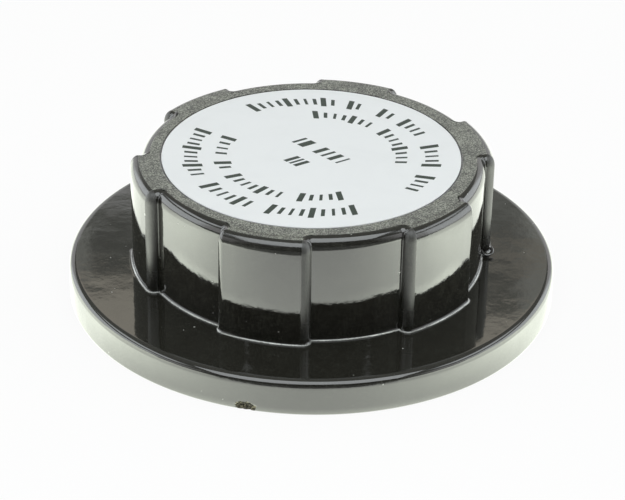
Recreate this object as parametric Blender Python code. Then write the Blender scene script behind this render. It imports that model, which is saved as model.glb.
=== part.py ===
"""Screw-on pressure cap for a radiator or surge tank: moulded shell, seals and the two valves inside.

Metres, +Z up. The origin is the centre of the plane that the skirt's rim stands on.
The cap's axis is Z, and -Y is the side seen first.
"""
import math

import bmesh
import bpy
from mathutils import Matrix, Vector

# Clearances
FIT_GAP = 0.0003
GUIDE_GAP = 0.0009
SPRING_SIDE_GAP = 0.0010
LIFT_ROOM = 0.0041

# Vacuum valve
STEM_RADIUS = 0.0015
STEM_HEAD_RADIUS = 0.0030
STEM_HEAD_HEIGHT = 0.0006
STEM_TIP_HEIGHT = 0.0006
KEEPER_THICKNESS = 0.0008
VACUUM_SEAL_THICKNESS = 0.0010
VACUUM_SEAL_OVERLAP = 0.0031
VACUUM_DISC_THICKNESS = 0.0008
VACUUM_DISC_MARGIN = 0.0006
VACUUM_WIRE = 0.00035
VACUUM_TURNS = 4.0
VACUUM_SPRING_LENGTH = 0.0050

# Pressure valve
EYELET_RADIUS = 0.0060
EYELET_WALL = 0.0011
EYELET_FLANGE = 0.0022
EYELET_ROLL = 0.0008
RETAINER_THICKNESS = 0.0008
RETAINER_LIP = 0.0006
RETAINER_REACH = 0.0053
SEAL_THICKNESS = 0.0020
SEAL_OVERLAP = 0.0017
PLATE_THICKNESS = 0.0009
PLATE_MARGIN = 0.0018
PLATE_RIM_HEIGHT = 0.0025
PRESSURE_WIRE = 0.0011
PRESSURE_TURNS = 3.0
WASHER_THICKNESS = 0.0008
WASHER_MARGIN = 0.0005

# Valve seat and the ring that holds it
SEAT_SIDE_GAP = 0.0025
SEAT_THICKNESS = 0.0020
SEAT_LIP_WIDTH = 0.0012
SEAT_LIP_HEIGHT = 0.0008
SEAT_SHOULDER = 0.0010
STOP_RING_THICKNESS = 0.0010
STOP_RING_WIDTH = 0.0023
STOP_RING_GROOVE = 0.0012
STOP_RING_GAP_DEG = 24.0

# Screws and the bosses that they bite into
SCREW_COUNT = 3
SCREW_RADIUS = 0.00115
SCREW_HEAD_RADIUS = 0.0026
SCREW_HEAD_HEIGHT = 0.0016
SCREW_BITE = 0.0041
SCREW_SIDE_GAP = 0.00185
BOSS_WALL = 0.0021
RECESS_WIDTH = 0.0007
RECESS_DEPTH = 0.0009
RECESS_REACH = 0.0015

# Neck gasket and valve cage
GASKET_THICKNESS = 0.0023
GASKET_DROP = 0.0003
GASKET_RIM_GAP = 0.0006
CAGE_LIFT = 0.0020
CAGE_LIP = 0.0006
CAGE_WALL = 0.0034
CAGE_TOP = 0.0015
CAGE_COLLAR = 0.0027
CAGE_CHAMFER = 0.0006
O_RING_WIRE = 0.0011
O_RING_GROOVE_DEPTH = 0.0016
O_RING_GROOVE_WIDTH = 0.0028
O_RING_LEVEL = 0.0080
O_RING_SPACING = 0.0041
WINDOW_COUNT = 6
WINDOW_WIDTH = 0.0125
WINDOW_MARGIN = 0.0017

# Shell, inside
NECK_SPACE = 0.0055
THREAD_DEPTH = 0.0015
THREAD_PITCH = 0.0045
THREAD_TURNS = 2.0
THREAD_ROOT_WIDTH = 0.0028
THREAD_CREST_WIDTH = 0.0012
THREAD_START = 0.0046
THREAD_RUN_OUT_DEG = 20.0
CROWN_THICKNESS = 0.0030
CROWN_CORNER = 0.0008
BARREL_WALL = 0.0061
BARREL_LIFT = 0.0008
BARREL_ROUNDING = 0.0005
LEAD_IN = 0.0014
FLANGE_THICKNESS = 0.0030
SKIRT_WALL = 0.0030

# Shell, outside
GRIP_WALL = 0.00355
GRIP_STEP = 0.00205
GRIP_DRAFT = 0.0001
GRIP_TOP_FILLET = 0.0019
GRIP_FOOT_FILLET = 0.0006
GRIP_CORNER_RADIUS = 0.0015
GRIP_PAIRS = 6
FLANGE_REACH = 0.0132
FLANGE_HEIGHT = 0.0076
FLANGE_EDGE_FILLET = 0.0015
RIM_ROUNDING = 0.0005
LABEL_MARGIN = 0.00285
LABEL_THICKNESS = 0.00025

# Broken spot on the rim's lower edge
CHIP_ANGLE_DEG = -106.0
CHIP_WIDTH = 0.0052
CHIP_HEIGHT = 0.0014
CHIP_DEPTH = 0.0007

# Fineness of the round forms
FINE = 48
MEDIUM = 36
COARSE = 18
O_RING_SIDES = 8

# Heights, from the base up to the crown
CAGE_BOTTOM = CAGE_LIFT
STOP_GROOVE_BOTTOM = CAGE_BOTTOM + CAGE_LIP
STOP_RING_BOTTOM = STOP_GROOVE_BOTTOM + FIT_GAP
STOP_GROOVE_TOP = STOP_RING_BOTTOM + STOP_RING_THICKNESS + FIT_GAP
SEAT_BOTTOM = STOP_GROOVE_TOP
SEAT_TOP = SEAT_BOTTOM + SEAT_THICKNESS
SEAL_BOTTOM = SEAT_TOP + SEAT_LIP_HEIGHT + FIT_GAP
SEAL_TOP = SEAL_BOTTOM + SEAL_THICKNESS
PLATE_BOTTOM = SEAL_TOP + FIT_GAP
PLATE_TOP = PLATE_BOTTOM + PLATE_THICKNESS
EYELET_HEAD_BOTTOM = PLATE_TOP + FIT_GAP
EYELET_TOP = EYELET_HEAD_BOTTOM + EYELET_ROLL
VACUUM_SPRING_BOTTOM = EYELET_TOP + FIT_GAP
VACUUM_SPRING_TOP = VACUUM_SPRING_BOTTOM + VACUUM_SPRING_LENGTH
KEEPER_BOTTOM = VACUUM_SPRING_TOP + FIT_GAP
KEEPER_TOP = KEEPER_BOTTOM + KEEPER_THICKNESS
STEM_TOP = KEEPER_TOP + FIT_GAP + STEM_TIP_HEIGHT
CAGE_UNDERSIDE = STEM_TOP + LIFT_ROOM
CAGE_CEILING = CAGE_UNDERSIDE + CAGE_TOP
GASKET_BOTTOM = CAGE_CEILING + GASKET_DROP
GASKET_TOP = GASKET_BOTTOM + GASKET_THICKNESS
CROWN_UNDERSIDE = GASKET_TOP + FIT_GAP
CAP_HEIGHT = CROWN_UNDERSIDE + CROWN_THICKNESS

# Heights that hang from the seal or the cage's ceiling
RETAINER_TOP = SEAL_BOTTOM - FIT_GAP
RETAINER_BOTTOM = RETAINER_TOP - RETAINER_THICKNESS
EYELET_FOOT_TOP = RETAINER_BOTTOM - FIT_GAP
EYELET_BOTTOM = EYELET_FOOT_TOP - EYELET_ROLL
VACUUM_SEAL_TOP = EYELET_BOTTOM - FIT_GAP
VACUUM_SEAL_BOTTOM = VACUUM_SEAL_TOP - VACUUM_SEAL_THICKNESS
VACUUM_DISC_TOP = VACUUM_SEAL_BOTTOM - FIT_GAP
VACUUM_DISC_BOTTOM = VACUUM_DISC_TOP - VACUUM_DISC_THICKNESS
STEM_BOTTOM = VACUUM_DISC_BOTTOM - FIT_GAP - STEM_HEAD_HEIGHT
WASHER_TOP = CAGE_UNDERSIDE - FIT_GAP
WASHER_BOTTOM = WASHER_TOP - WASHER_THICKNESS

# Radii, from the stem outwards
STEM_HOLE = STEM_RADIUS + FIT_GAP
EYELET_BORE = EYELET_RADIUS - EYELET_WALL
EYELET_HOLE = EYELET_RADIUS + FIT_GAP
EYELET_FLANGE_RADIUS = EYELET_RADIUS + EYELET_FLANGE
VACUUM_SEAL_RADIUS = EYELET_BORE + VACUUM_SEAL_OVERLAP
VACUUM_SPRING_RADIUS = EYELET_RADIUS + VACUUM_WIRE
KEEPER_RADIUS = VACUUM_SPRING_RADIUS + 2 * VACUUM_WIRE
SCREW_CIRCLE = KEEPER_RADIUS + SCREW_SIDE_GAP + SCREW_HEAD_RADIUS
PRESSURE_SPRING_RADIUS = SCREW_CIRCLE + SCREW_HEAD_RADIUS + SPRING_SIDE_GAP + PRESSURE_WIRE
RETAINER_RADIUS = EYELET_FLANGE_RADIUS + RETAINER_REACH
SEAT_BORE = RETAINER_RADIUS + SEAT_SIDE_GAP
SEAL_RADIUS = SEAT_BORE + SEAT_LIP_WIDTH + SEAL_OVERLAP
PLATE_RADIUS = SEAL_RADIUS + PLATE_MARGIN
CAGE_BORE = PLATE_RADIUS + GUIDE_GAP
SEAT_POCKET = CAGE_BORE + SEAT_SHOULDER
STOP_GROOVE_RADIUS = SEAT_POCKET + STOP_RING_GROOVE
STOP_RING_RADIUS = STOP_GROOVE_RADIUS - FIT_GAP
CAGE_RADIUS = CAGE_BORE + CAGE_WALL
COLLAR_BORE = CAGE_RADIUS - CAGE_COLLAR
O_RING_FLOOR = CAGE_RADIUS - O_RING_GROOVE_DEPTH
CREST_RADIUS = CAGE_RADIUS + NECK_SPACE
BORE_RADIUS = CREST_RADIUS + THREAD_DEPTH
BARREL_RADIUS = BORE_RADIUS + BARREL_WALL
RECESS_RADIUS = BORE_RADIUS + GRIP_WALL
GRIP_RADIUS = RECESS_RADIUS + GRIP_STEP
FLANGE_RADIUS = GRIP_RADIUS + FLANGE_REACH
SKIRT_BORE = FLANGE_RADIUS - SKIRT_WALL
LABEL_RADIUS = RECESS_RADIUS - GRIP_TOP_FILLET - LABEL_MARGIN


def clear_scene():
    for old in list(bpy.data.objects):
        bpy.data.objects.remove(old, do_unlink=True)


def make_material(name, colour, roughness, metallic=0.0):
    material = bpy.data.materials.new(name)
    material.use_nodes = True
    shader = material.node_tree.nodes["Principled BSDF"]
    shader.inputs["Base Color"].default_value = (*colour, 1.0)
    shader.inputs["Roughness"].default_value = roughness
    shader.inputs["Metallic"].default_value = metallic
    material.diffuse_color = (*colour, 1.0)
    return material


def add_object(name, bm, material=None, sharp_deg=32.0):
    """Turns a bmesh into an object whose faces point out and whose round faces are smooth."""
    bmesh.ops.recalc_face_normals(bm, faces=bm.faces)
    mesh = bpy.data.meshes.new(name)
    bm.to_mesh(mesh)
    bm.free()
    mesh.shade_smooth()
    mesh.set_sharp_from_angle(angle=math.radians(sharp_deg))
    if material is not None:
        mesh.materials.append(material)
    new_object = bpy.data.objects.new(name, mesh)
    bpy.context.scene.collection.objects.link(new_object)
    return new_object


def turned(name, profile, material, segments=MEDIUM, ring=True):
    """Spins a profile of (radius, height) points about Z; a ring's profile closes on itself."""
    bm = bmesh.new()
    points = [bm.verts.new((radius, 0.0, height)) for radius, height in profile]
    edges = [bm.edges.new(pair) for pair in zip(points, points[1:])]
    if ring:
        edges.append(bm.edges.new((points[-1], points[0])))
    bmesh.ops.spin(bm, geom=points + edges, cent=(0, 0, 0), axis=(0, 0, 1), dvec=(0, 0, 0),
                   angle=math.tau, steps=segments, use_merge=True)
    bmesh.ops.remove_doubles(bm, verts=bm.verts, dist=1e-7)
    return add_object(name, bm, material)


def skinned(name, rings, material=None):
    """Joins loops of points with quads and closes both ends with one face each."""
    bm = bmesh.new()
    loops = [[bm.verts.new(point) for point in ring] for ring in rings]
    for lower, upper in zip(loops, loops[1:]):
        for i in range(len(lower)):
            j = (i + 1) % len(lower)
            bm.faces.new((lower[i], lower[j], upper[j], upper[i]))
    bm.faces.new(loops[0])
    bm.faces.new(loops[-1])
    return add_object(name, bm, material)


def combine(target, tool, operation):
    """Adds a Boolean to the target and keeps its tool as a hidden guide."""
    modifier = target.modifiers.new(tool.name, "BOOLEAN")
    modifier.operation = operation
    modifier.solver = "EXACT"
    modifier.object = tool
    tool.hide_render = True
    tool.display_type = "WIRE"


def polar(radius, angle, height):
    return Vector((radius * math.cos(angle), radius * math.sin(angle), height))


def quarter(steps):
    """Angles of a quarter turn, both ends included."""
    return [math.pi / 2 * k / steps for k in range(steps + 1)]


def step_point(along, radius, edge_angle, side):
    """A point given by its way along the rim from a step's edge; side is 1 where the raised part follows."""
    return radius, edge_angle + side * along / GRIP_RADIUS


def step_columns(inset, draft, edge_angle, side):
    """Five points round one step of the grip, from the recess to the raised part."""
    outer = GRIP_RADIUS + draft
    inner = RECESS_RADIUS + draft
    spread = max(-inset, 0.0)
    smallest = 0.0001
    reach = max(GRIP_CORNER_RADIUS, inset + smallest)
    corner = max(GRIP_CORNER_RADIUS - inset, smallest)
    points = [step_point(-0.0004 - spread, inner - inset, edge_angle, side)]
    if inset > 0:
        points.append(step_point(0.75 * inset, inner - 0.55 * inset, edge_angle, side))
    else:
        points.append(step_point(inset, inner - inset, edge_angle, side))
    for turn in quarter(2):
        along = reach - corner * math.cos(turn)
        radius = outer - reach + corner * math.sin(turn)
        points.append(step_point(along, radius, edge_angle, side))
    return points


def grip_outline(inset, draft, height):
    """The grip seen from above, moved inwards by the inset: raised and recessed parts by turns."""
    half = math.pi / GRIP_PAIRS
    points = []
    for pair in range(GRIP_PAIRS):
        start = 2 * half * pair
        points += step_columns(inset, draft, start, 1)
        for share in (0.25, 0.5, 0.75):
            points.append((GRIP_RADIUS + draft - inset, start + half * share))
        points += step_columns(inset, draft, start + half, -1)[::-1]
        for share in (0.25, 0.5, 0.75):
            points.append((RECESS_RADIUS + draft - inset, start + half * (1 + share)))
    return [polar(radius, angle, height) for radius, angle in points]


def shell_circle(radius, height):
    """A circle with one point for each column of the grip's outline."""
    half = math.pi / GRIP_PAIRS
    ways = (-0.0010, -0.0004, 0.0003, 0.0009, 0.0016)
    angles = []
    for pair in range(GRIP_PAIRS):
        start = 2 * half * pair
        angles += [start + way / GRIP_RADIUS for way in ways]
        angles += [start + half * share for share in (0.25, 0.5, 0.75)]
        angles += [start + half - way / GRIP_RADIUS for way in ways[::-1]]
        angles += [start + half * (1 + share) for share in (0.25, 0.5, 0.75)]
    return [polar(radius, angle, height) for angle in angles]


def shell_rings():
    """Loops from the label's pocket over the grip and flange, under the rim and up to the crown."""
    pocket = LABEL_RADIUS + FIT_GAP
    floor = CAP_HEIGHT - LABEL_THICKNESS - FIT_GAP
    rings = [shell_circle(pocket, floor), shell_circle(pocket, CAP_HEIGHT)]
    for turn in quarter(3):
        inset = GRIP_TOP_FILLET * (1 - math.sin(turn))
        drop = GRIP_TOP_FILLET * (1 - math.cos(turn))
        rings.append(grip_outline(inset, 0.0, CAP_HEIGHT - drop))
    for turn in quarter(2):
        spread = GRIP_FOOT_FILLET * (1 - math.cos(turn))
        rise = GRIP_FOOT_FILLET * (1 - math.sin(turn))
        rings.append(grip_outline(-spread, GRIP_DRAFT, FLANGE_HEIGHT + rise))
    for turn in quarter(3):
        inset = FLANGE_EDGE_FILLET * (1 - math.sin(turn))
        drop = FLANGE_EDGE_FILLET * (1 - math.cos(turn))
        rings.append(shell_circle(FLANGE_RADIUS - inset, FLANGE_HEIGHT - drop))
    channel_top = FLANGE_HEIGHT - FLANGE_THICKNESS
    for radius, height in (
            (FLANGE_RADIUS, RIM_ROUNDING),
            (FLANGE_RADIUS - RIM_ROUNDING, 0.0),
            (SKIRT_BORE + RIM_ROUNDING, 0.0),
            (SKIRT_BORE, RIM_ROUNDING),
            (SKIRT_BORE, channel_top),
            (BARREL_RADIUS, channel_top),
            (BARREL_RADIUS, BARREL_LIFT + BARREL_ROUNDING),
            (BARREL_RADIUS - BARREL_ROUNDING, BARREL_LIFT),
            (BORE_RADIUS + LEAD_IN, BARREL_LIFT),
            (BORE_RADIUS, BARREL_LIFT + LEAD_IN),
            (BORE_RADIUS, CROWN_UNDERSIDE - CROWN_CORNER),
            (BORE_RADIUS - CROWN_CORNER, CROWN_UNDERSIDE)):
        rings.append(shell_circle(radius, height))
    return rings


def thread_ridge():
    """The inner thread's ridge, a right-handed helix that fades out at both ends."""
    steps = int(THREAD_TURNS * MEDIUM)
    run_out = math.radians(THREAD_RUN_OUT_DEG)
    total = math.tau * THREAD_TURNS
    root = BORE_RADIUS + FIT_GAP
    rings = []
    for k in range(steps + 1):
        angle = total * k / steps
        height = THREAD_START + THREAD_PITCH * angle / math.tau
        share = min(1.0, angle / run_out, (total - angle) / run_out)
        crest = BORE_RADIUS - THREAD_DEPTH * max(share, 0.08)
        rings.append([polar(root, angle, height - THREAD_ROOT_WIDTH / 2),
                      polar(crest, angle, height - THREAD_CREST_WIDTH / 2),
                      polar(crest, angle, height + THREAD_CREST_WIDTH / 2),
                      polar(root, angle, height + THREAD_ROOT_WIDTH / 2)])
    return skinned("thread_ridge_tool", rings)


def screw_angles():
    return [math.tau * (k / SCREW_COUNT + 0.25) for k in range(SCREW_COUNT)]


def posts(name, radius, low, high):
    """Upright cylinders on the screw circle, in one tool."""
    bm = bmesh.new()
    for angle in screw_angles():
        made = bmesh.ops.create_cone(bm, cap_ends=True, segments=COARSE, radius1=radius,
                                     radius2=radius, depth=high - low)
        bmesh.ops.translate(bm, verts=made["verts"],
                            vec=polar(SCREW_CIRCLE, angle, (low + high) / 2))
    return add_object(name, bm)


def chip_cutter():
    """A ragged lump that bites a shallow notch out of the rim's lower edge."""
    bm = bmesh.new()
    bmesh.ops.create_icosphere(bm, subdivisions=2, radius=1.0)
    for k, vert in enumerate(bm.verts):
        vert.co *= 1.0 + 0.13 * math.sin(5.3 * k) * math.cos(2.1 * k)
        vert.co.x *= CHIP_DEPTH
        vert.co.y *= CHIP_WIDTH / 2
        vert.co.z *= CHIP_HEIGHT
    cutter = add_object("rim_chip_tool", bm)
    angle = math.radians(CHIP_ANGLE_DEG)
    cutter.location = polar(FLANGE_RADIUS, angle, 0.0)
    cutter.rotation_euler = (0.0, 0.0, angle)
    return cutter


def make_shell(material):
    shell = skinned("cap_shell", shell_rings(), material)
    combine(shell, thread_ridge(), "UNION")
    boss = SCREW_RADIUS + FIT_GAP + BOSS_WALL
    boss_low = CAGE_CEILING + FIT_GAP
    combine(shell, posts("boss_tool", boss, boss_low, CROWN_UNDERSIDE + FIT_GAP), "UNION")
    pilot = SCREW_RADIUS + FIT_GAP
    pilot_top = CAGE_CEILING + SCREW_BITE + FIT_GAP
    combine(shell, posts("pilot_tool", pilot, boss_low - FIT_GAP, pilot_top), "DIFFERENCE")
    combine(shell, chip_cutter(), "DIFFERENCE")
    return shell


def make_label(material):
    low = CAP_HEIGHT - LABEL_THICKNESS
    profile = [(0, low), (LABEL_RADIUS, low), (LABEL_RADIUS, CAP_HEIGHT), (0, CAP_HEIGHT)]
    return turned("label_disc", profile, material, FINE, ring=False)


def washer(name, inner, outer, low, high, material, segments=MEDIUM):
    """A flat ring."""
    return turned(name, [(inner, low), (outer, low), (outer, high), (inner, high)], material, segments)


def make_cage(material):
    """The cup under the crown: gasket collar on top, O-ring grooves outside, seat pocket inside."""
    profile = [(0, CAGE_CEILING), (COLLAR_BORE, CAGE_CEILING), (COLLAR_BORE, GASKET_TOP),
               (CAGE_RADIUS, GASKET_TOP)]
    for level in (O_RING_LEVEL + O_RING_SPACING, O_RING_LEVEL):
        high = level + O_RING_GROOVE_WIDTH / 2
        low = level - O_RING_GROOVE_WIDTH / 2
        profile += [(CAGE_RADIUS, high), (O_RING_FLOOR, high), (O_RING_FLOOR, low), (CAGE_RADIUS, low)]
    shoulder = SEAT_TOP + FIT_GAP
    profile += [(CAGE_RADIUS, CAGE_BOTTOM + CAGE_CHAMFER), (CAGE_RADIUS - CAGE_CHAMFER, CAGE_BOTTOM),
                (SEAT_POCKET, CAGE_BOTTOM), (SEAT_POCKET, STOP_GROOVE_BOTTOM),
                (STOP_GROOVE_RADIUS, STOP_GROOVE_BOTTOM), (STOP_GROOVE_RADIUS, STOP_GROOVE_TOP),
                (SEAT_POCKET, STOP_GROOVE_TOP), (SEAT_POCKET, shoulder), (CAGE_BORE, shoulder),
                (CAGE_BORE, CAGE_UNDERSIDE), (0, CAGE_UNDERSIDE)]
    cage = turned("valve_cage", profile, material, FINE, ring=False)
    combine(cage, window_cutter(), "DIFFERENCE")
    hole = SCREW_RADIUS + 2 * FIT_GAP
    holes = posts("cage_hole_tool", hole, CAGE_UNDERSIDE - FIT_GAP, CAGE_CEILING + FIT_GAP)
    combine(cage, holes, "DIFFERENCE")
    return cage


def window_cutter():
    """Blocks that open the cage's side windows above the O-rings."""
    low = O_RING_LEVEL + O_RING_SPACING + O_RING_GROOVE_WIDTH / 2 + WINDOW_MARGIN
    high = CAGE_UNDERSIDE - WINDOW_MARGIN
    inner = CAGE_BORE - 2 * GUIDE_GAP - 2 * FIT_GAP
    outer = CAGE_RADIUS + 2 * GUIDE_GAP
    bm = bmesh.new()
    for k in range(WINDOW_COUNT):
        made = bmesh.ops.create_cube(bm, size=1.0)
        bmesh.ops.scale(bm, verts=made["verts"], vec=(outer - inner, WINDOW_WIDTH, high - low))
        bmesh.ops.translate(bm, verts=made["verts"], vec=((inner + outer) / 2, 0, (low + high) / 2))
        bmesh.ops.rotate(bm, verts=made["verts"], cent=(0, 0, 0),
                         matrix=Matrix.Rotation(math.tau * (k + 0.5) / WINDOW_COUNT, 3, "Z"))
    return add_object("window_tool", bm)


def make_o_ring(name, level, material):
    centre = O_RING_FLOOR + FIT_GAP + O_RING_WIRE
    turns = [math.tau * k / O_RING_SIDES for k in range(O_RING_SIDES)]
    profile = [(centre + O_RING_WIRE * math.cos(turn), level + O_RING_WIRE * math.sin(turn))
               for turn in turns]
    return turned(name, profile, material, MEDIUM)


def make_seat(material):
    outer = SEAT_POCKET - FIT_GAP
    lip = SEAT_TOP + SEAT_LIP_HEIGHT
    profile = [(SEAT_BORE, SEAT_BOTTOM), (outer, SEAT_BOTTOM), (outer, SEAT_TOP),
               (SEAT_BORE + SEAT_LIP_WIDTH, SEAT_TOP), (SEAT_BORE + SEAT_LIP_WIDTH * 0.75, lip),
               (SEAT_BORE + SEAT_LIP_WIDTH * 0.25, lip), (SEAT_BORE, lip - SEAT_LIP_HEIGHT / 2)]
    return turned("seat_ring", profile, material, MEDIUM)


def make_stop_ring(material):
    """A split ring that snaps into the cage's groove under the seat."""
    gap = math.radians(STOP_RING_GAP_DEG)
    inner = STOP_RING_RADIUS - STOP_RING_WIDTH
    low = STOP_RING_BOTTOM
    high = STOP_RING_BOTTOM + STOP_RING_THICKNESS
    rings = []
    for k in range(MEDIUM + 1):
        angle = gap / 2 + (math.tau - gap) * k / MEDIUM
        rings.append([polar(inner, angle, low), polar(STOP_RING_RADIUS, angle, low),
                      polar(STOP_RING_RADIUS, angle, high), polar(inner, angle, high)])
    return skinned("stop_ring", rings, material)


def make_plate(material):
    """Stamped plate with a turned-up rim, which carries the pressure spring."""
    rim = PLATE_TOP + PLATE_RIM_HEIGHT
    profile = [(EYELET_HOLE, PLATE_BOTTOM), (PLATE_RADIUS - PLATE_THICKNESS / 2, PLATE_BOTTOM),
               (PLATE_RADIUS, PLATE_BOTTOM + PLATE_THICKNESS / 2), (PLATE_RADIUS, rim),
               (PLATE_RADIUS - PLATE_THICKNESS, rim), (PLATE_RADIUS - PLATE_THICKNESS, PLATE_TOP),
               (EYELET_HOLE, PLATE_TOP)]
    return turned("pressure_plate", profile, material, MEDIUM)


def make_retainer(material):
    """Cup washer under the rubber, with its edge turned down."""
    lip = RETAINER_BOTTOM - RETAINER_LIP
    inner = RETAINER_RADIUS - RETAINER_THICKNESS
    profile = [(EYELET_HOLE, RETAINER_TOP), (RETAINER_RADIUS - RETAINER_THICKNESS / 2, RETAINER_TOP),
               (RETAINER_RADIUS, RETAINER_TOP - RETAINER_THICKNESS / 2), (RETAINER_RADIUS, lip),
               (inner, lip), (inner, RETAINER_BOTTOM), (EYELET_HOLE, RETAINER_BOTTOM)]
    return turned("seal_retainer", profile, material, MEDIUM)


def make_eyelet(material):
    """Tubular rivet that clamps plate, rubber and retainer; the vacuum passage runs through it."""
    profile = [(EYELET_BORE, EYELET_BOTTOM), (EYELET_FLANGE_RADIUS, EYELET_BOTTOM),
               (EYELET_FLANGE_RADIUS, EYELET_FOOT_TOP), (EYELET_RADIUS, EYELET_FOOT_TOP),
               (EYELET_RADIUS, EYELET_HEAD_BOTTOM), (EYELET_FLANGE_RADIUS, EYELET_HEAD_BOTTOM),
               (EYELET_FLANGE_RADIUS, EYELET_TOP - EYELET_ROLL / 2),
               (EYELET_FLANGE_RADIUS - EYELET_ROLL / 2, EYELET_TOP), (EYELET_BORE, EYELET_TOP)]
    return turned("valve_eyelet", profile, material)


def make_stem(material):
    """Pin with a flat head below and a riveted tip above its keeper."""
    neck = STEM_BOTTOM + STEM_HEAD_HEIGHT
    tip = KEEPER_TOP + FIT_GAP
    tip_radius = STEM_RADIUS + 2 * FIT_GAP
    profile = [(0, STEM_BOTTOM), (STEM_HEAD_RADIUS, STEM_BOTTOM), (STEM_HEAD_RADIUS, neck),
               (STEM_RADIUS, neck), (STEM_RADIUS, tip), (tip_radius, tip),
               (tip_radius, STEM_TOP - STEM_TIP_HEIGHT / 2), (0, STEM_TOP)]
    return turned("vacuum_stem", profile, material, COARSE, ring=False)


def make_coil(name, radius, wire, low, high, turns, material, per_turn=22, sides=6):
    """A round wire on a helix that fills the height between low and high."""
    steps = int(turns * per_turn)
    climb = high - low - 2 * wire
    rings = []
    for k in range(steps + 1):
        angle = math.tau * turns * k / steps
        centre = polar(radius, angle, low + wire + climb * k / steps)
        outward = polar(1.0, angle, 0.0)
        run = Vector((-radius * math.sin(angle), radius * math.cos(angle), climb / (math.tau * turns)))
        across = run.normalized().cross(outward)
        rings.append([centre + wire * (outward * math.cos(turn) + across * math.sin(turn))
                      for turn in (math.tau * s / sides for s in range(sides))])
    return skinned(name, rings, material)


def recess_cutter(name, place):
    """An upright bar, cross-shaped in section, that cuts the driver's recess into a screw's head."""
    half = RECESS_WIDTH / 2
    arm = [Vector((RECESS_REACH, -half, 0)), Vector((RECESS_REACH, half, 0)), Vector((half, half, 0))]
    outline = [Matrix.Rotation(math.pi / 2 * turn, 3, "Z") @ point for turn in range(4) for point in arm]
    rise = Vector((0, 0, RECESS_DEPTH))
    cutter = skinned(name, [[point - rise for point in outline], [point + rise for point in outline]])
    cutter.location = place
    return cutter


def make_screws(material):
    """Pan-head screws that hold the cage to the crown's bosses, heads down."""
    head_top = WASHER_TOP
    head_low = head_top - SCREW_HEAD_HEIGHT
    tip = CAGE_CEILING + SCREW_BITE
    profile = [(0, head_low), (SCREW_HEAD_RADIUS * 0.75, head_low),
               (SCREW_HEAD_RADIUS, head_low + SCREW_HEAD_HEIGHT / 2), (SCREW_HEAD_RADIUS, head_top),
               (SCREW_RADIUS, head_top), (SCREW_RADIUS, tip - SCREW_RADIUS), (0, tip)]
    for k, angle in enumerate(screw_angles()):
        screw = turned(f"cage_screw_{k + 1}", profile, material, COARSE, ring=False)
        screw.location = polar(SCREW_CIRCLE, angle, 0.0)
        place = polar(SCREW_CIRCLE, angle, head_low)
        combine(screw, recess_cutter(f"recess_tool_{k + 1}", place), "DIFFERENCE")


def main():
    clear_scene()
    black = make_material("gloss_black_nylon", (0.012, 0.012, 0.013), 0.18)
    vinyl = make_material("white_vinyl", (0.86, 0.88, 0.89), 0.35)
    rubber = make_material("black_rubber", (0.022, 0.022, 0.022), 0.7)
    grey = make_material("grey_nylon", (0.10, 0.10, 0.10), 0.45)
    steel = make_material("plated_steel", (0.56, 0.55, 0.50), 0.32, 1.0)
    wire = make_material("spring_steel", (0.42, 0.42, 0.41), 0.3, 1.0)
    brass = make_material("brass", (0.72, 0.53, 0.24), 0.3, 1.0)

    make_shell(black)
    make_label(vinyl)
    washer("neck_gasket", CAGE_RADIUS + FIT_GAP, BORE_RADIUS - GASKET_RIM_GAP,
           GASKET_BOTTOM, GASKET_TOP, rubber, FINE)
    make_cage(grey)
    make_screws(steel)
    make_o_ring("cage_o_ring_lower", O_RING_LEVEL, rubber)
    make_o_ring("cage_o_ring_upper", O_RING_LEVEL + O_RING_SPACING, rubber)
    make_seat(brass)
    make_stop_ring(wire)
    spring_inner = PRESSURE_SPRING_RADIUS - PRESSURE_WIRE
    spring_outer = PRESSURE_SPRING_RADIUS + PRESSURE_WIRE
    washer("spring_washer", spring_inner - WASHER_MARGIN, spring_outer + WASHER_MARGIN,
           WASHER_BOTTOM, WASHER_TOP, steel)
    make_coil("pressure_spring", PRESSURE_SPRING_RADIUS, PRESSURE_WIRE, PLATE_TOP + FIT_GAP,
              WASHER_BOTTOM - FIT_GAP, PRESSURE_TURNS, wire)
    make_plate(steel)
    washer("pressure_seal", EYELET_HOLE, SEAL_RADIUS, SEAL_BOTTOM, SEAL_TOP, rubber)
    make_retainer(steel)
    make_eyelet(brass)
    washer("vacuum_seal", STEM_HOLE, VACUUM_SEAL_RADIUS, VACUUM_SEAL_BOTTOM, VACUUM_SEAL_TOP,
           rubber)
    washer("vacuum_disc", STEM_HOLE, VACUUM_SEAL_RADIUS + VACUUM_DISC_MARGIN, VACUUM_DISC_BOTTOM,
           VACUUM_DISC_TOP, steel)
    make_stem(brass)
    make_coil("vacuum_spring", VACUUM_SPRING_RADIUS, VACUUM_WIRE, VACUUM_SPRING_BOTTOM,
              VACUUM_SPRING_TOP, VACUUM_TURNS, wire, 16, 5)
    washer("stem_keeper", STEM_HOLE, KEEPER_RADIUS, KEEPER_BOTTOM, KEEPER_TOP, steel)


main()
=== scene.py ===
"""Looks of a screw-on radiator cap: glossy shell, label, valve cage, seals, valves, springs and stage.

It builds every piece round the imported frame, in metres, with +Z along the cap's axis.
"""

import math

import bmesh
import bpy
from bpy.props import FloatProperty, FloatVectorProperty, IntProperty, PointerProperty
from bpy.types import NodeSocket, Operator, Panel, PropertyGroup
from mathutils import Matrix, Vector, noise


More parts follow.
